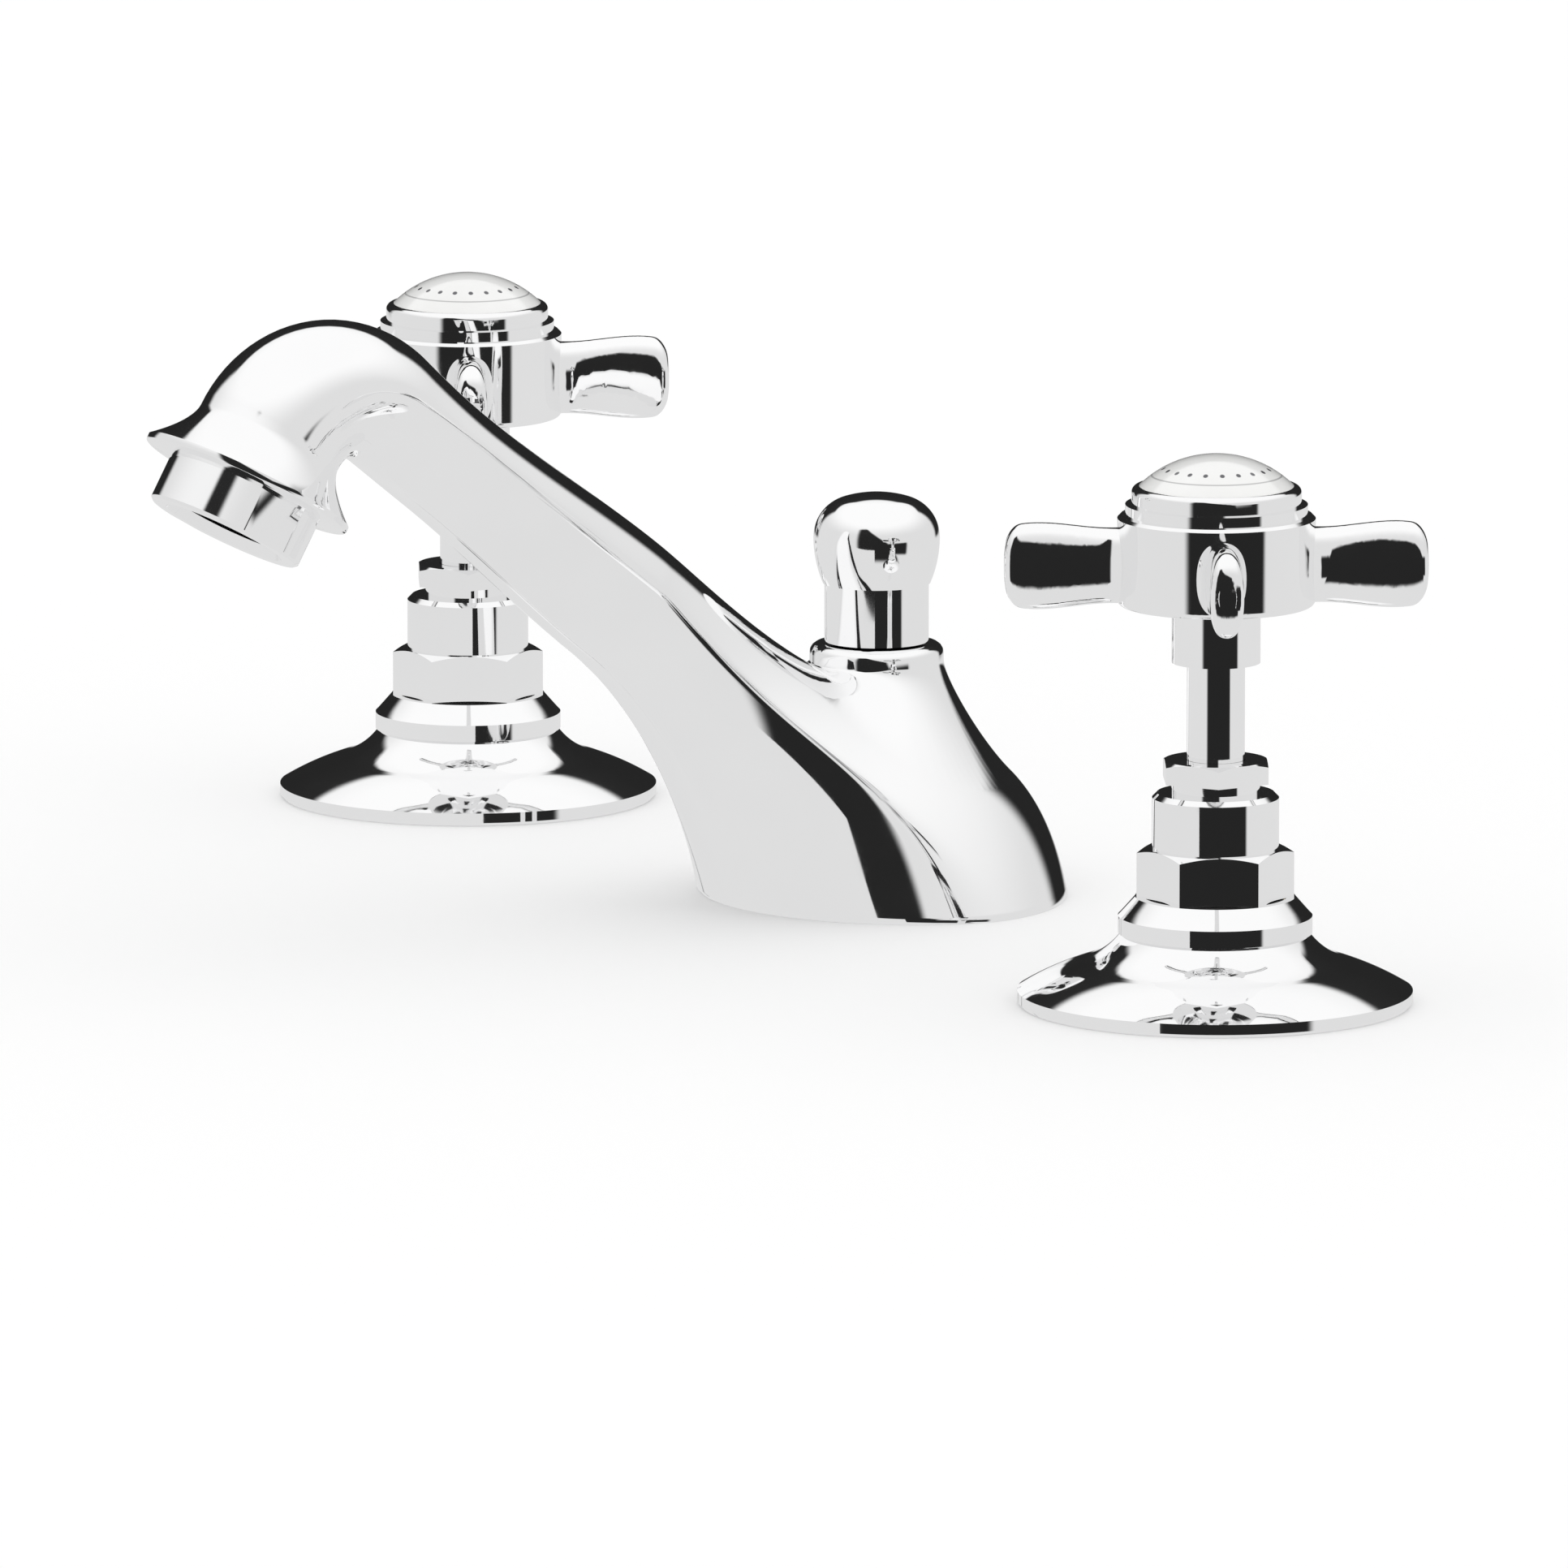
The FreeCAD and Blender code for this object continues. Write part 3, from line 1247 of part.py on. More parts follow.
# Every object must have built, and every piece must be one valid solid
failed = [obj.Name for obj in doc.Objects if "Invalid" in obj.State or "Error" in obj.State]
if failed:
    raise RuntimeError("not built: " + ", ".join(failed))
for node in nodes:
    if node.Shape.isNull() or not node.Shape.isValid() or len(node.Shape.Solids) != 1:
        raise RuntimeError(f"bad shape: {node.Label} with {len(node.Shape.Solids)} solids")

os.makedirs("parts", exist_ok=True)
for node in nodes:
    node.Shape.exportStep(f"parts/{node.Label}.step")
    extent = node.Shape.BoundBox
    print(f"{node.Label}: {node.Shape.Volume:.0f} mm3, z {extent.ZMin:.1f} to {extent.ZMax:.1f}")
print(len(nodes), "pieces")
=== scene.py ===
import json
import math
from collections import namedtuple

import bmesh
import bpy
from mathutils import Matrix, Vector
from mathutils.bvhtree import BVHTree


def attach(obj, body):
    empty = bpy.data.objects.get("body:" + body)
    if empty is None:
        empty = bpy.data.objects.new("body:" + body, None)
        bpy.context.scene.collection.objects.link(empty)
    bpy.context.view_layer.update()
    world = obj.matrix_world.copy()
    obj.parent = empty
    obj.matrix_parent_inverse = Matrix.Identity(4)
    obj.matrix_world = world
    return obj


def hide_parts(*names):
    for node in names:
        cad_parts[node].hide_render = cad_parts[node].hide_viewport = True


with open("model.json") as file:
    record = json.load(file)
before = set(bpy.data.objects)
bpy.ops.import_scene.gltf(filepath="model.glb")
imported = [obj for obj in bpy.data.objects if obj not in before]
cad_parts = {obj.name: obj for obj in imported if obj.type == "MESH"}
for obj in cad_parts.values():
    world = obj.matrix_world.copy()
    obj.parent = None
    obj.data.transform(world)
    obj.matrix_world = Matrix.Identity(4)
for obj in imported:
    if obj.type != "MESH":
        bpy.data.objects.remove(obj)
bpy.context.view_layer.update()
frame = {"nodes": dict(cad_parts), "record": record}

MM = 0.001
TINY = 1e-6

# Photograph: viewing angle and distance, its scale, and the pixel on which one point falls
AZIMUTH = math.radians(58.0)
ELEVATION = math.radians(9.8)
DISTANCE = 3.4
PIXELS = 1932
PIXELS_PER_METRE = 8200.0
SEEN_POINT = Vector((0.0, 0.0, 0.037))
SEEN_PIXEL = (1080.0, 799.0)
SENSOR_MM = 36.0
CLIP_END = 50.0

toward_camera = Vector((math.sin(AZIMUTH) * math.cos(ELEVATION),
                        -math.cos(AZIMUTH) * math.cos(ELEVATION),
                        math.sin(ELEVATION)))
level_camera = Vector((math.sin(AZIMUTH), -math.cos(AZIMUTH), 0.0))
picture_right = Vector((math.cos(AZIMUTH), math.sin(AZIMUTH), 0.0))
picture_up = toward_camera.cross(picture_right)


class Nodes:
    """A node tree with short ways to add, join and compute."""

    def __init__(self, owner):
        owner.use_nodes = True
        self.tree = owner.node_tree
        self.tree.nodes.clear()

    def add(self, kind, inputs=None, **settings):
        node = self.tree.nodes.new(kind)
        for name, value in settings.items():
            setattr(node, name, value)
        for socket, value in (inputs or {}).items():
            self.feed(node.inputs[socket], value)
        return node

    def feed(self, socket, value):
        if isinstance(value, bpy.types.NodeSocket):
            self.tree.links.new(value, socket)
        else:
            socket.default_value = value

    def math(self, operation, *values):
        return self.add("ShaderNodeMath", dict(enumerate(values)), operation=operation).outputs[0]

    def product(self, first, *others):
        for other in others:
            first = self.math("MULTIPLY", first, other)
        return first

    def hypot(self, first, second):
        squares = (self.math("MULTIPLY", value, value) for value in (first, second))
        return self.math("SQRT", self.math("ADD", *squares))

    def dot(self, vector, axis):
        node = self.add("ShaderNodeVectorMath", {0: vector, 1: axis}, operation="DOT_PRODUCT")
        return node.outputs["Value"]

    def ramp(self, value, low, high, first=0.0, last=1.0):
        inputs = {"Value": value, "From Min": low, "From Max": high, "To Min": first, "To Max": last}
        return self.add("ShaderNodeMapRange", inputs, interpolation_type="SMOOTHSTEP").outputs["Result"]

    def above(self, value, edge):
        place, soft = edge
        return self.ramp(value, place - soft, place + soft)

    def below(self, value, edge, top=1.0):
        place, soft = edge
        return self.ramp(value, place - soft, place + soft, top, 0.0)

    def noise(self, scale, stretch=(1, 1, 1)):
        where = self.add("ShaderNodeTexCoord").outputs["Object"]
        spread = self.add("ShaderNodeMapping", {"Vector": where, "Scale": stretch}).outputs[0]
        inputs = {"Vector": spread, "Scale": scale, "Detail": NOISE_DETAIL}
        return self.add("ShaderNodeTexNoise", inputs).outputs["Fac"]

    def colours(self, value, first, last):
        node = self.add("ShaderNodeValToRGB", {"Fac": value})
        for stop, place, colour in zip(node.color_ramp.elements, NOISE_RANGE, (first, last)):
            stop.position = place
            stop.color = (*colour, 1)
        return node.outputs["Color"]


def add_object(name, data):
    obj = bpy.data.objects.new(name, data)
    bpy.context.scene.collection.objects.link(obj)
    return obj


# Camera
def make_camera():
    data = bpy.data.cameras.new("photo_camera")
    data.sensor_width = SENSOR_MM
    data.lens = SENSOR_MM * DISTANCE * PIXELS_PER_METRE / PIXELS
    data.clip_end = CLIP_END
    camera = add_object("photo_camera", data)
    middle = PIXELS / 2
    aim = (SEEN_POINT + picture_right * (middle - SEEN_PIXEL[0]) / PIXELS_PER_METRE
           + picture_up * (SEEN_PIXEL[1] - middle) / PIXELS_PER_METRE)
    camera.location = aim + toward_camera * DISTANCE
    camera.rotation_euler = (-toward_camera).to_track_quat("-Z", "Y").to_euler()
    bpy.context.scene.camera = camera


# Studio: white above and pale all round, which changes over these heights in degrees
ABOVE_WHITE = 1.0
ROUND_WHITE = 0.75
LIGHT_HEIGHTS = (14.0, 50.0)

# Dark zones that polished metal sees: a room in front with a low wing, and a strip behind.
# Each edge is a place and a softness in degrees, to the camera's right or above the level
DARK = 0.025
FRONT_LEFT, FRONT_RIGHT = (-36.0, 6.0), (19.0, 4.0)
FRONT_LOW, FRONT_HIGH = (-24.0, 4.0), (42.0, 4.0)
FRONT_PEAK, FRONT_SLANT = 0.15, 1.0
WING_RIGHT, WING_LOW, WING_HIGH = (57.0, 4.0), (-17.0, 2.0), (-2.0, 3.0)
BACK_SIDE, BACK_LOW, BACK_HIGH = (135.0, 8.0), (-6.0, 3.0), (36.0, 3.0)

# White card low in front of the spout on its left, in metres from the knob's axis
CARD_AHEAD = 0.205
CARD_LEFT, CARD_RIGHT = -0.6, -0.014
CARD_LOW, CARD_HIGH = -0.4, 0.01

# Floor
FLOOR_HALF = 40.0
FLOOR_WHITE = (0.97, 0.97, 0.97, 1)
FLOOR_LIFT = 0.035


def make_world():
    world = bpy.data.worlds.new("studio")
    bpy.context.scene.world = world
    nodes = Nodes(world)
    where = nodes.add("ShaderNodeTexCoord").outputs["Generated"]
    across, ahead, up = (nodes.dot(where, axis)
                         for axis in (picture_right, level_camera, (0, 0, 1)))
    turn = nodes.math("DEGREES", nodes.math("ARCTAN2", across, ahead))
    height = nodes.math("DEGREES", nodes.math("ARCSINE", up))
    aside = nodes.math("ABSOLUTE", turn)
    peaked = nodes.math("MULTIPLY_ADD", aside, FRONT_PEAK, height)
    slanted = nodes.math("MULTIPLY_ADD", height, FRONT_SLANT, turn)
    left = nodes.above(turn, FRONT_LEFT)
    front = nodes.product(left, nodes.below(slanted, FRONT_RIGHT),
                          nodes.above(height, FRONT_LOW), nodes.below(peaked, FRONT_HIGH))
    wing = nodes.product(left, nodes.below(turn, WING_RIGHT),
                         nodes.above(height, WING_LOW), nodes.below(height, WING_HIGH))
    back = nodes.product(nodes.above(aside, BACK_SIDE),
                         nodes.above(height, BACK_LOW), nodes.below(height, BACK_HIGH))
    dark = nodes.math("MAXIMUM", nodes.math("MAXIMUM", front, wing), back)
    light = nodes.ramp(height, *LIGHT_HEIGHTS, ROUND_WHITE, ABOVE_WHITE)
    seen = nodes.math("MULTIPLY", light, nodes.ramp(dark, 0.0, 1.0, 1.0, DARK))
    mirror = nodes.add("ShaderNodeBackground", {"Color": (1, 1, 1, 1), "Strength": seen})
    white = nodes.add("ShaderNodeBackground", {"Color": (1, 1, 1, 1), "Strength": 1.0})
    glossy = nodes.add("ShaderNodeLightPath").outputs["Is Glossy Ray"]
    choose = nodes.add("ShaderNodeMixShader",
                       {"Fac": glossy, 1: white.outputs[0], 2: mirror.outputs[0]})
    nodes.add("ShaderNodeOutputWorld", {"Surface": choose.outputs[0]})


def make_card():
    """White card that only polished metal sees."""
    sides = ((CARD_LEFT, CARD_LOW), (CARD_RIGHT, CARD_LOW),
             (CARD_RIGHT, CARD_HIGH), (CARD_LEFT, CARD_HIGH))
    corners = [level_camera * CARD_AHEAD + picture_right * side + Vector((0, 0, height))
               for side, height in sides]
    mesh = bpy.data.meshes.new("white_card")
    mesh.from_pydata(corners, [], [(0, 1, 2, 3)])
    card = add_object("white_card", mesh)
    material = bpy.data.materials.new("card_white")
    nodes = Nodes(material)
    glow = nodes.add("ShaderNodeEmission", {"Strength": ROUND_WHITE})
    nodes.add("ShaderNodeOutputMaterial", {"Surface": glow.outputs[0]})
    mesh.materials.append(material)
    card.visible_camera = False
    card.visible_diffuse = False
    card.visible_transmission = False
    card.visible_shadow = False


def make_floor():
    """Pale floor that keeps the object's shadow and is almost white to the camera."""
    far = FLOOR_HALF
    corners = [(-far, -far, 0), (far, -far, 0), (far, far, 0), (-far, far, 0)]
    mesh = bpy.data.meshes.new("deck_floor")
    mesh.from_pydata(corners, [], [(0, 1, 2, 3)])
    floor = add_object("deck_floor", mesh)
    material = bpy.data.materials.new("floor_white")
    nodes = Nodes(material)
    paper = nodes.add("ShaderNodeBsdfDiffuse", {"Color": FLOOR_WHITE})
    camera_ray = nodes.add("ShaderNodeLightPath").outputs["Is Camera Ray"]
    strength = nodes.math("MULTIPLY", camera_ray, FLOOR_LIFT)
    lift = nodes.add("ShaderNodeEmission", {"Strength": strength})
    both = nodes.add("ShaderNodeAddShader", {0: paper.outputs[0], 1: lift.outputs[0]})
    nodes.add("ShaderNodeOutputMaterial", {"Surface": both.outputs[0]})
    mesh.materials.append(material)
    floor.visible_glossy = False


# Materials: colour and roughness vary between two values over this part of a noise's range.
# A noise is a scale and sometimes a stretch
NOISE_DETAIL = 3.0
NOISE_RANGE = (0.3, 0.7)
BUMP_DEPTH = 0.0002
LOOKS = {
    "chrome": dict(
        colour_noise=(40.0,), colours=((0.955, 0.955, 0.958), (0.98, 0.98, 0.982)),
        rough_noise=(220.0,), roughness=(0.025, 0.05), Metallic=1.0),
    "brass": dict(
        colour_noise=(90.0,), colours=((0.66, 0.48, 0.2), (0.76, 0.58, 0.28)),
        rough_noise=(300.0, (1, 1, 14)), roughness=(0.2, 0.36), bump=0.25, Metallic=1.0),
    "steel": dict(
        colour_noise=(160.0,), colours=((0.56, 0.56, 0.55), (0.68, 0.68, 0.67)),
        rough_noise=(500.0,), roughness=(0.32, 0.5), bump=0.15, Metallic=1.0),
    "rubber": dict(
        colour_noise=(200.0,), colours=((0.035, 0.035, 0.035), (0.065, 0.065, 0.065)),
        rough_noise=(700.0,), roughness=(0.65, 0.85), bump=0.4),
    "packing": dict(
        colour_noise=(400.0, (1, 1, 3)), colours=((0.5, 0.48, 0.43), (0.68, 0.66, 0.6)),
        rough_noise=(900.0,), roughness=(0.6, 0.8), bump=0.6),
    "insert_plastic": dict(
        colour_noise=(150.0,), colours=((0.72, 0.73, 0.73), (0.78, 0.79, 0.79)),
        rough_noise=(400.0,), roughness=(0.38, 0.5)),
    "index_white": dict(
        colour_noise=(120.0,), colours=((0.9, 0.9, 0.885), (0.94, 0.94, 0.93)),
        rough_noise=(300.0,), roughness=(0.1, 0.18), Coat_Weight=0.4, Coat_Roughness=0.04)}
SEEN_IN_CHROME = ("chrome", "index_white")

# Marks on the index: a fine ring and a circle of dots, in millimetres, with edges as above
INDEX_RADIUS = 11.3
DOTS, DOT_CIRCLE, DOT_EDGE = 20, 7.8, (0.36, 0.08)
RING_RADIUS, RING_EDGE, RING_SHADE = 9.5, (0.1, 0.06), 0.5
MARK_GREY = (0.09, 0.09, 0.1, 1)

# Sockets of a Mix node for colours
MIX_SHARE, MIX_FIRST, MIX_SECOND, MIX_RESULT = 0, 6, 7, 2


def surface(name, colour_noise, colours, rough_noise, roughness, bump=0.0, **fixed):
    """A principled material whose colour and roughness vary a little over the surface."""
    material = bpy.data.materials.new(name)
    nodes = Nodes(material)
    shader = nodes.add("ShaderNodeBsdfPrincipled", {
        "Base Color": nodes.colours(nodes.noise(*colour_noise), *colours),
        "Roughness": nodes.ramp(nodes.noise(*rough_noise), *NOISE_RANGE, *roughness)})
    for socket, value in fixed.items():
        shader.inputs[socket.replace("_", " ")].default_value = value
    if bump:
        grain = nodes.add("ShaderNodeBump", {
            "Height": nodes.noise(*rough_noise), "Strength": bump, "Distance": BUMP_DEPTH})
        nodes.feed(shader.inputs["Normal"], grain.outputs["Normal"])
    nodes.add("ShaderNodeOutputMaterial", {"Surface": shader.outputs[0]})
    return material, nodes, shader


def add_index_marks(nodes, shader):
    """Adds a fine grey ring and a circle of dots to the index's white glaze."""
    place = nodes.add("ShaderNodeTexCoord").outputs["Generated"]
    x, y = (nodes.math("MULTIPLY", nodes.math("SUBTRACT", nodes.dot(place, axis), 0.5),
                       2 * INDEX_RADIUS) for axis in ((1, 0, 0), (0, 1, 0)))
    out = nodes.hypot(x, y)
    step = nodes.math("MULTIPLY", nodes.math("ARCTAN2", y, x), DOTS / math.tau)
    swing = nodes.math("MULTIPLY", nodes.math("SUBTRACT", nodes.math("FRACT", step), 0.5),
                       math.tau / DOTS * DOT_CIRCLE)
    from_dot = nodes.hypot(swing, nodes.math("SUBTRACT", out, DOT_CIRCLE))
    from_ring = nodes.math("ABSOLUTE", nodes.math("SUBTRACT", out, RING_RADIUS))
    mark = nodes.math("MAXIMUM", nodes.below(from_dot, DOT_EDGE),
                      nodes.below(from_ring, RING_EDGE, RING_SHADE))
    base = shader.inputs["Base Color"]
    inputs = {MIX_SHARE: mark, MIX_FIRST: base.links[0].from_socket, MIX_SECOND: MARK_GREY}
    mixed = nodes.add("ShaderNodeMix", inputs, data_type="RGBA")
    nodes.feed(base, mixed.outputs[MIX_RESULT])


def make_materials():
    """One material for each slot of the record."""
    materials = {}
    for name, look in LOOKS.items():
        materials[name], nodes, shader = surface(name, **look)
        if name == "index_white":
            add_index_marks(nodes, shader)
    return materials


# Spout casting, from the part's own named sizes in millimetres, as a finer mesh than the solid's
REACH, OUTLET_HEIGHT, OUTLET_TILT = 110.0, 70.9, math.radians(30.1)
ROOT = (-46.0, 49.1)
BEND_RADIUS, NOSE_DROP, HORN_RADIUS = 12.7, 8.0, 11.2
LIP_RADIUS, LIP_BAND, LIP_ROUND = 16.3, 1.0, 0.35
NOSE_RECESS, NOSE_BORE = 6.0, 10.95
ARM_HALF_WIDTH, ARM_MID_HEIGHT, ARM_ROOT_HEIGHT = 11.0, 16.8, 19.8
ARM_KEEL, ARM_FLUTE, ARM_BULGE, CREASE_ROUND = 3.8, -0.7, 0.5, 1.2
BASE_FRONT, BASE_BACK, BASE_HALF_WIDTH = 26.0, 27.6, 32.5
BASE_KEEL, BASE_FLUTE, BASE_BULGE, BASE_CORNER = 10.0, 1.5, 4.0, 7.2
BACK_LEAN, BACK_PULL, CROWN_PULL, CROWN_SAG, THROAT_PULL = 1.5, 33.0, 33.5, 5.6, 21.0
SEAL_RADIUS, SEAL_HEIGHT = 24.05, 1.5
HOLLOW_RADIUS, HOLLOW_TOP, HOLLOW_HEIGHT = 21.3, 16.5, 9.0
FOOT_ROUND = 0.3

# How its sections change along it: shares, powers and degrees
LIP_EDGE_SHARE, FLARE_POWER, SLIM_AT, SAG_SHARE = 0.3, 1.6, 0.5, 0.6
KEEL_START, KEEL_FULL = 0.1, 0.5
ARM_CREASE, BASE_CREASE, CREASE_DIP, ARM_LEAN = 0.63, 0.46, 0.47, 25.0
WIDTH_POWER, BULGE_POWER, KEEL_POWER, CORNER_POWER = 1.5, 2, 4, 6
ELLIPSE_PULL, FLOOR_TRIM_MOST = 0.5523, 0.5
ROUND_SPLITS = [math.radians(angle) for angle in (0, 40, 55, 95, 110, 180)]

# How fine its mesh is
CURVE_STEPS = (8, 8, 40, 10, 34)
NOSE_ROWS, LIMB_ROWS, ROOT_ROWS = 14, 80, 130

Section = namedtuple("Section", "low high half_width crease keel flute lean trim bulge roundness")


def mix(first, second, share):
    return tuple(a + (b - a) * share for a, b in zip(first, second))


def along(point, direction, distance):
    return tuple(c + distance * d for c, d in zip(point, direction))


def raised(first, control, last):
    """A quadratic curve's poles as those of a cubic."""
    return [first, mix(first, control, 2 / 3), mix(last, control, 2 / 3), last]


def blossom(poles, shares):
    """A curve's point where all shares are equal, or else a pole of one of its parts."""
    for share in shares:
        poles = [mix(first, second, share) for first, second in zip(poles, poles[1:])]
    return poles[0]


def split_cubic(poles, start, end):
    return [blossom(poles, shares) for shares in
            ((start, start, start), (start, start, end), (start, end, end), (end, end, end))]


def meeting(p, p_next, q, q_next):
    """Where two lines cross, each given by two points."""
    dx, dy = p_next[0] - p[0], p_next[1] - p[1]
    ex, ey = q_next[0] - q[0], q_next[1] - q[1]
    share = ((q[0] - p[0]) * ey - (q[1] - p[1]) * ex) / (dx * ey - dy * ex)
    return p[0] + dx * share, p[1] + dy * share


def keeled_half(section, height):
    """Right half of the keeled outline as five cubic curves, from its low to its high point."""
    keel = (section.keel, section.flute)
    crease = (section.half_width, section.crease * height)
    side_length = math.dist(keel, crease)
    side_normal = ((crease[1] - keel[1]) / side_length, (keel[0] - crease[0]) / side_length)
    bulged = along(mix(keel, crease, 0.5), side_normal, 2 * section.bulge)
    lean, pull = math.radians(section.lean), ELLIPSE_PULL * (height - crease[1])
    crown = [crease, (crease[0] - pull * math.sin(lean), crease[1] + pull * math.cos(lean)),
             (ELLIPSE_PULL * crease[0], height), (0.0, height)]
    floor_trim = min(FLOOR_TRIM_MOST, section.trim / section.keel)
    side_trim = section.trim / side_length
    crown_trim = section.trim / math.dist(crease, (0.0, height))
    floor = split_cubic(raised((0.0, 0.0), (keel[0] / 2, 0.0), keel), 0.0, 1 - floor_trim)
    side = split_cubic(raised(keel, bulged, crease), side_trim, 1 - side_trim)
    crown = split_cubic(crown, crown_trim, 1.0)
    low_corner = raised(floor[3], meeting(floor[3], floor[2], side[0], side[1]), side[0])
    high_corner = raised(side[3], meeting(side[3], side[2], crown[0], crown[1]), crown[0])
    return [floor, low_corner, side, high_corner, crown]


def round_half(half_width, height):
    """Right half of an ellipse, split into the same five curves."""
    curves = []
    for first, last in zip(ROUND_SPLITS, ROUND_SPLITS[1:]):
        pull = 4 / 3 * math.tan((last - first) / 4)
        start, end = (math.sin(first), -math.cos(first)), (math.sin(last), -math.cos(last))
        poles = [start, along(start, (math.cos(first), math.sin(first)), pull),
                 along(end, (math.cos(last), math.sin(last)), -pull), end]
        curves.append([(half_width * u, height * (1 + v) / 2) for u, v in poles])
    return curves


def outline(section):
    """A section's points, from its low point up its right side and down its left."""
    low, high = section.low, section.high
    height = math.dist(low, high)
    upward = ((high[0] - low[0]) / height, (high[1] - low[1]) / height)
    half = []
    for steps, first, second in zip(CURVE_STEPS, keeled_half(section, height),
                                    round_half(section.half_width, height)):
        poles = [mix(a, b, section.roundness) for a, b in zip(first, second)]
        half += [blossom(poles, (step / steps,) * 3) for step in range(steps)]
    half.append((0.0, height))
    both = half + [(-u, v) for u, v in half[-2:0:-1]]
    return [Vector((u, *along(low, upward, v))) for u, v in both]


def ease(share):
    share = min(1.0, max(0.0, share))
    return share * share * (3 - 2 * share)


def between(first, last, share):
    return first + (last - first) * ease(share)


# Side view of the centre line: nose, bend, and an arm that leaves the bend on a tangent
inward = (math.sin(OUTLET_TILT), math.cos(OUTLET_TILT))
outlet = (-REACH, OUTLET_HEIGHT)
bend_centre = along(along(outlet, inward, NOSE_DROP), (inward[1], -inward[0]), BEND_RADIUS)
to_root = (ROOT[0] - bend_centre[0], ROOT[1] - bend_centre[1])
arm_slope = (math.pi / 2 - math.atan2(to_root[1], to_root[0])
             - math.acos(BEND_RADIUS / math.hypot(*to_root)))
arm_out = (math.sin(arm_slope), math.cos(arm_slope))
arm_along = (math.cos(arm_slope), -math.sin(arm_slope))
bend_angle = math.pi / 2 - OUTLET_TILT + arm_slope


def on_bend(share):
    """A point of the bend's centre line, and the direction out of the bend there."""
    angle = math.pi - OUTLET_TILT - bend_angle * share
    out = (math.cos(angle), math.sin(angle))
    return along(bend_centre, out, BEND_RADIUS), out


bend_end, bend_length = on_bend(1.0)[0], BEND_RADIUS * bend_angle
limb_length = bend_length + math.dist(bend_end, ROOT)


def arm_section(point, out, half_height, half_width, roundness):
    return Section(along(point, out, -half_height), along(point, out, half_height), half_width,
                   ARM_CREASE, ARM_KEEL, ARM_FLUTE, ARM_LEAN, CREASE_ROUND, ARM_BULGE, roundness)


def nose_outline(distance, radius):
    point = along(outlet, inward, distance)
    return outline(arm_section(point, (-inward[1], inward[0]), radius, radius, 1.0))


def flare_outline(share):
    radius = HORN_RADIUS + (LIP_RADIUS - HORN_RADIUS) * (1 - share) ** FLARE_POWER
    return nose_outline(LIP_BAND + (NOSE_DROP - LIP_BAND) * share, radius)


def limb_section(share):
    """A section of the bend and the arm."""
    middle, root = ARM_MID_HEIGHT / 2, ARM_ROOT_HEIGHT / 2
    if share < SLIM_AT:
        half_height = between(HORN_RADIUS, middle, share / SLIM_AT)
    else:
        half_height = between(middle, root, (share - SLIM_AT) / (1 - SLIM_AT))
    half_width = between(HORN_RADIUS, ARM_HALF_WIDTH, share / SLIM_AT)
    roundness = 1 - ease((share - KEEL_START) / (KEEL_FULL - KEEL_START))
    distance = share * limb_length
    if distance < bend_length:
        point, out = on_bend(distance / bend_length)
    else:
        point, out = along(bend_end, arm_along, distance - bend_length), arm_out
    return arm_section(point, out, half_height, half_width, roundness)


def root_section(share):
    """A section between the foot, at 0, and the arm, at 1."""
    arm, left = limb_section(1.0), 1 - share
    front, back = (-BASE_FRONT, 0.0), (BASE_BACK, 0.0)
    front_pull = along(arm.low, arm_along, THROAT_PULL)
    back_pull = (BASE_BACK - BACK_LEAN, BACK_PULL)
    crown_pull = along(arm.high, arm_along, CROWN_PULL)
    low = blossom([front, front_pull, arm.low], (share,) * 2)
    high = blossom([back, back_pull, crown_pull, arm.high], (share,) * 3)
    sag = (share / SAG_SHARE) ** 3 * (left / (1 - SAG_SHARE)) ** 2 * CROWN_SAG

    def toward(base, start, power):
        return start + (base - start) * left ** power

    return Section(
        low=low, high=(high[0], high[1] - sag),
        half_width=toward(BASE_HALF_WIDTH, ARM_HALF_WIDTH, WIDTH_POWER),
        crease=ARM_CREASE * share + BASE_CREASE * left - CREASE_DIP * share * left,
        keel=toward(BASE_KEEL, ARM_KEEL, KEEL_POWER),
        flute=toward(BASE_FLUTE, ARM_FLUTE, CORNER_POWER),
        lean=ARM_LEAN * share,
        trim=toward(BASE_CORNER, CREASE_ROUND, CORNER_POWER),
        bulge=toward(BASE_BULGE, ARM_BULGE, BULGE_POWER),
        roundness=0.0)


def spout_rows():
    """Rings of points from inside the nose, over the whole casting, to inside the foot."""
    edge = LIP_ROUND * LIP_EDGE_SHARE
    nose = ((NOSE_RECESS, NOSE_BORE), (0.0, NOSE_BORE), (0.0, LIP_RADIUS - LIP_ROUND),
            (edge, LIP_RADIUS - edge), (LIP_ROUND, LIP_RADIUS))
    rows = [nose_outline(distance, radius) for distance, radius in nose]
    rows += [flare_outline(step / NOSE_ROWS) for step in range(NOSE_ROWS)]
    rows += [outline(limb_section(step / LIMB_ROWS)) for step in range(LIMB_ROWS + 1)]
    rows += [outline(root_section(1 - step / ROOT_ROWS)) for step in range(1, ROOT_ROWS)]
    foot = outline(root_section(0.0))
    rows.append([p * (1 - FOOT_ROUND / p.length) for p in foot])
    hollow = ((SEAL_RADIUS, 0.0), (SEAL_RADIUS, SEAL_HEIGHT), (HOLLOW_RADIUS, SEAL_HEIGHT),
              (HOLLOW_TOP, HOLLOW_HEIGHT))
    for radius, height in hollow:
        rows.append([Vector((p.x, p.y, 0.0)).normalized() * radius + Vector((0, 0, height))
                     for p in foot])
    return rows


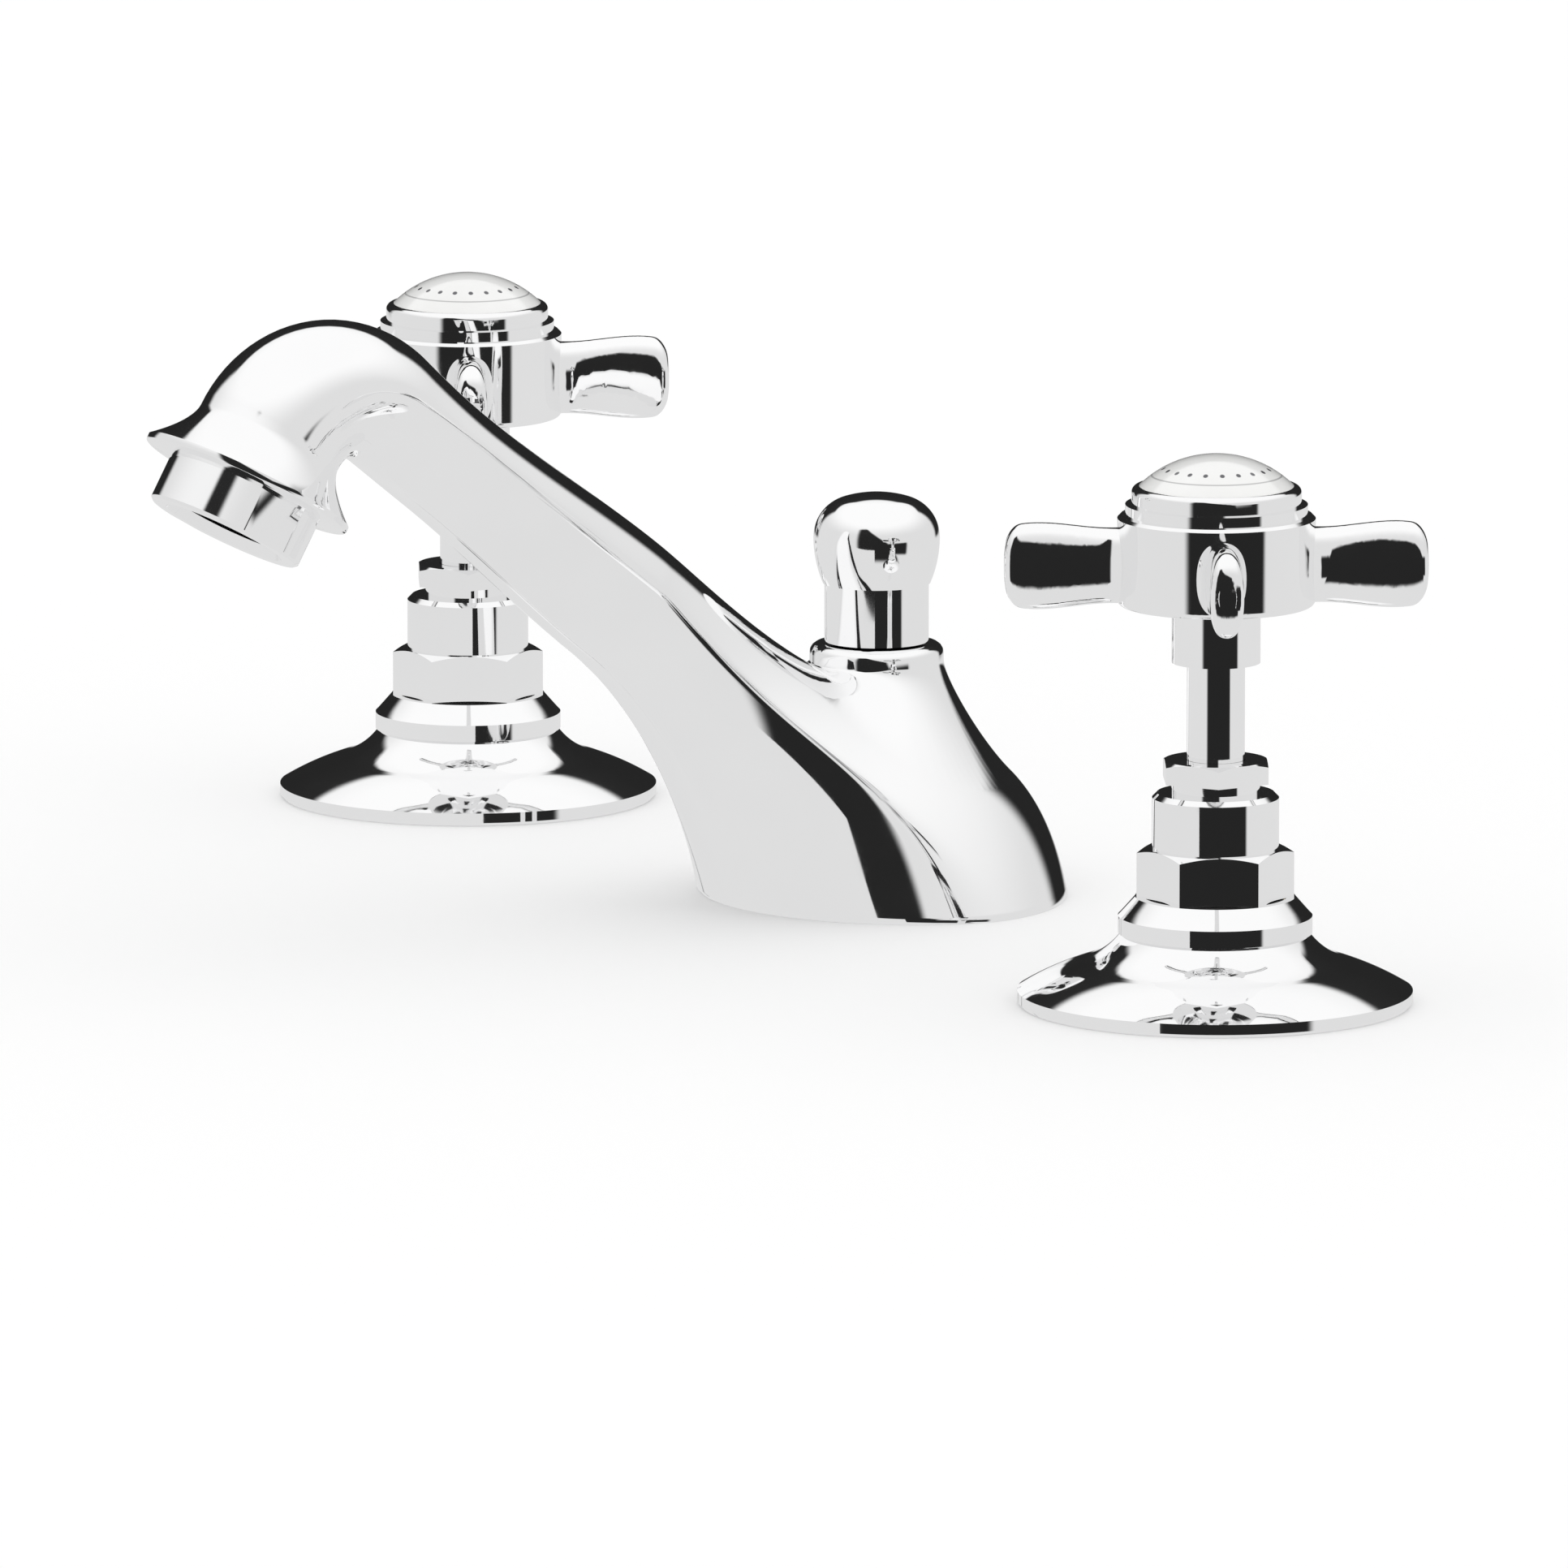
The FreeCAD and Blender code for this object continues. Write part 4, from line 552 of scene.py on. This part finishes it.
def closed_mesh(name, rows):
    """A mesh through rings of points, closed at both ends."""
    count = len(rows[0])
    points = [p for row in rows for p in row]
    faces = []
    for first in range(0, (len(rows) - 1) * count, count):
        for i in range(count):
            following = (i + 1) % count
            faces.append((first + i, first + following, first + count + following, first + count + i))
    for row, first in ((rows[0], 0), (rows[-1], (len(rows) - 1) * count)):
        points.append(sum(row, Vector()) / count)
        faces += [(first + i, len(points) - 1, first + (i + 1) % count) for i in range(count)]
    mesh = bpy.data.meshes.new(name)
    mesh.from_pydata([p * MM for p in points], [], faces)
    shape = bmesh.new()
    shape.from_mesh(mesh)
    bmesh.ops.recalc_face_normals(shape, faces=shape.faces)
    shape.to_mesh(mesh)
    shape.free()
    return mesh


# Boss under the knob: the casting is opened round the knob's axis and drawn up into it in one sweep
OPEN_RADIUS, OPEN_BELOW, OPEN_ABOVE, OPEN_SIDES = 20.5, 10.0, 70.0, 180
BOSS_RADIUS, BOSS_HEIGHT, BOSS_NECK, BOSS_EDGE = 10.1, 38.0, 35.4, 1.5
BOSS_EDGE_STEPS = 4
GUIDE_RADIUS, GUIDE_DEPTH = 4.45, 8.0
SWEEP_ROWS, SKIN_PULL, NECK_PULL = 26, 1.0, 0.4
EVEN_SPREAD = math.radians(8)
CASTING_SHARP = math.radians(35)


def outward(point):
    """The level direction from the knob's axis to a point."""
    return Vector((point.x, point.y, 0)).normalized()


def opened(skin, name):
    """The casting's mesh with everything inside the opening's cylinder taken away."""
    turns = [math.tau * i / OPEN_SIDES for i in range(OPEN_SIDES)]
    rings = [[Vector((OPEN_RADIUS * math.cos(turn), OPEN_RADIUS * math.sin(turn), height))
              for turn in turns] for height in (OPEN_BELOW, OPEN_ABOVE)]
    tool = add_object(name + "_tool", closed_mesh(name + "_tool", rings))
    body = add_object(name + "_skin", skin)
    cutter = body.modifiers.new("opening", "BOOLEAN")
    cutter.operation, cutter.solver, cutter.object = "DIFFERENCE", "EXACT", tool
    cut = body.evaluated_get(bpy.context.evaluated_depsgraph_get())
    mesh = bpy.data.meshes.new_from_object(cut)
    for obj in (tool, body):
        bpy.data.objects.remove(obj)
    return mesh


def skin_tree(skin):
    """A search tree over the whole casting's faces."""
    shape = bmesh.new()
    shape.from_mesh(skin)
    tree = BVHTree.FromBMesh(shape)
    shape.free()
    return tree


def drop_opening(shape):
    """Deletes the walls that the opening's cylinder left in the casting."""
    limit, floor = OPEN_RADIUS * MM + TINY, OPEN_BELOW * MM - TINY
    inside = [face for face in shape.faces
              if all(math.hypot(v.co.x, v.co.y) < limit and v.co.z > floor for v in face.verts)]
    bmesh.ops.delete(shape, geom=inside, context="FACES")


def rim_loop(shape):
    """The opening's rim, point by point."""
    edge = next(edge for edge in shape.edges if edge.is_boundary)
    loop = [edge.verts[0]]
    while True:
        point = edge.other_vert(loop[-1])
        if point is loop[0]:
            return loop
        loop.append(point)
        edge = next(e for e in point.link_edges if e.is_boundary and e is not edge)


def rim_slopes(loop, tree):
    """The outward direction at each point of the rim, and the skin's slope toward the axis."""
    slopes = []
    for vert in loop:
        radial = outward(vert.co)
        normal = tree.find_nearest(vert.co)[1]
        leave = normal.cross(Vector((-radial.y, radial.x, 0)))
        away = leave.dot(radial)
        slopes.append((radial, math.atan2(leave.z, -away) if away < 0
                       else math.atan2(-leave.z, away)))
    return slopes


def even_slope(radial, slopes):
    """The slopes near one direction, evened so that single faces don't show."""
    weights = [max(0.0, 1 - radial.angle(other, 0.0) / EVEN_SPREAD) for other, _ in slopes]
    return sum(weight * value for weight, (_, value) in zip(weights, slopes)) / sum(weights)


def boss_profile():
    """Radius and height from the boss's rounded edge to the foot of its bore."""
    turns = [math.pi / 2 * step / BOSS_EDGE_STEPS for step in range(BOSS_EDGE_STEPS + 1)]
    inner, lower = BOSS_RADIUS - BOSS_EDGE, BOSS_HEIGHT - BOSS_EDGE
    profile = [(inner + BOSS_EDGE * math.cos(turn), lower + BOSS_EDGE * math.sin(turn))
               for turn in turns]
    return profile + [(GUIDE_RADIUS, BOSS_HEIGHT), (GUIDE_RADIUS, BOSS_HEIGHT - GUIDE_DEPTH)]


def boss_column(start, radial, slope):
    """Points from the rim up the sweep, over the boss's edge and down its bore."""
    end = radial * BOSS_RADIUS * MM + Vector((0, 0, BOSS_NECK * MM))
    length = (end - start).length
    leave = (Vector((0, 0, math.sin(slope))) - radial * math.cos(slope)) * length * SKIN_PULL
    rise = Vector((0, 0, length * NECK_PULL))
    points = []
    for step in range(1, SWEEP_ROWS + 1):
        t = step / SWEEP_ROWS
        points.append(start * (2 * t**3 - 3 * t**2 + 1) + leave * (t**3 - 2 * t**2 + t)
                      + end * (3 * t**2 - 2 * t**3) + rise * (t**3 - t**2))
    return points + [radial * r * MM + Vector((0, 0, z * MM)) for r, z in boss_profile()]


def add_boss(shape, loop, slopes):
    """Adds the sweep, the boss and its closed bore to the opened casting."""
    columns = []
    for vert in loop:
        radial = outward(vert.co)
        points = boss_column(vert.co.copy(), radial, even_slope(radial, slopes))
        columns.append([vert] + [shape.verts.new(p) for p in points])
    bottom = shape.verts.new((0, 0, (BOSS_HEIGHT - GUIDE_DEPTH) * MM))
    for first, second in zip(columns, columns[1:] + columns[:1]):
        for row in range(len(first) - 1):
            shape.faces.new((first[row], second[row], second[row + 1], first[row + 1]))
        shape.faces.new((first[-1], second[-1], bottom))


def make_spout():
    skin = closed_mesh("spout_skin", spout_rows())
    tree = skin_tree(skin)
    shape = bmesh.new()
    shape.from_mesh(opened(skin, "spout_opening"))
    drop_opening(shape)
    loop = rim_loop(shape)
    add_boss(shape, loop, rim_slopes(loop, tree))
    bmesh.ops.recalc_face_normals(shape, faces=shape.faces)
    mesh = bpy.data.meshes.new("spout_casting")
    shape.to_mesh(mesh)
    shape.free()
    mesh.shade_smooth()
    mesh.set_sharp_from_angle(angle=CASTING_SHARP)
    spout = add_object("spout_casting", mesh)
    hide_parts("spout_body")
    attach(spout, "mixer")
    return spout


# The other pieces are the solids' own meshes, shaded smooth apart from their sharp edges
NODE_SHARP = math.radians(25)
WELD_DISTANCE = 1e-6


def smooth_by_angle():
    """A geometry node tree that welds a mesh and shades it smooth, apart from its sharp edges."""
    tree = bpy.data.node_groups.new("smooth_by_angle", "GeometryNodeTree")
    tree.is_modifier = True
    for direction in ("INPUT", "OUTPUT"):
        tree.interface.new_socket("Geometry", in_out=direction, socket_type="NodeSocketGeometry")
    start, end = tree.nodes.new("NodeGroupInput"), tree.nodes.new("NodeGroupOutput")
    weld = tree.nodes.new("GeometryNodeMergeByDistance")
    weld.inputs["Distance"].default_value = WELD_DISTANCE
    faces = tree.nodes.new("GeometryNodeSetShadeSmooth")
    edges = tree.nodes.new("GeometryNodeSetShadeSmooth")
    edges.domain = "EDGE"
    angle = tree.nodes.new("GeometryNodeInputMeshEdgeAngle")
    small = tree.nodes.new("FunctionNodeCompare")
    small.operation = "LESS_THAN"
    small.inputs["B"].default_value = NODE_SHARP
    tree.links.new(start.outputs[0], weld.inputs["Geometry"])
    tree.links.new(weld.outputs["Geometry"], faces.inputs["Geometry"])
    tree.links.new(faces.outputs["Geometry"], edges.inputs["Geometry"])
    tree.links.new(angle.outputs["Unsigned Angle"], small.inputs["A"])
    tree.links.new(small.outputs["Result"], edges.inputs["Shade Smooth"])
    tree.links.new(edges.outputs["Geometry"], end.inputs[0])
    return tree


make_camera()
make_world()
make_card()
make_floor()
materials = make_materials()
smoothing = smooth_by_angle()
slots = {item["node"]: item["material_slot"] for item in frame["record"]["subparts"]}
for name, obj in frame["nodes"].items():
    obj.data.materials.clear()
    obj.data.materials.append(materials[slots[name]])
    obj.modifiers.new("smooth_by_angle", "NODES").node_group = smoothing
    obj.visible_glossy = slots[name] in SEEN_IN_CHROME
make_spout().data.materials.append(materials["chrome"])

bpy.context.scene.view_settings.view_transform = "Standard"
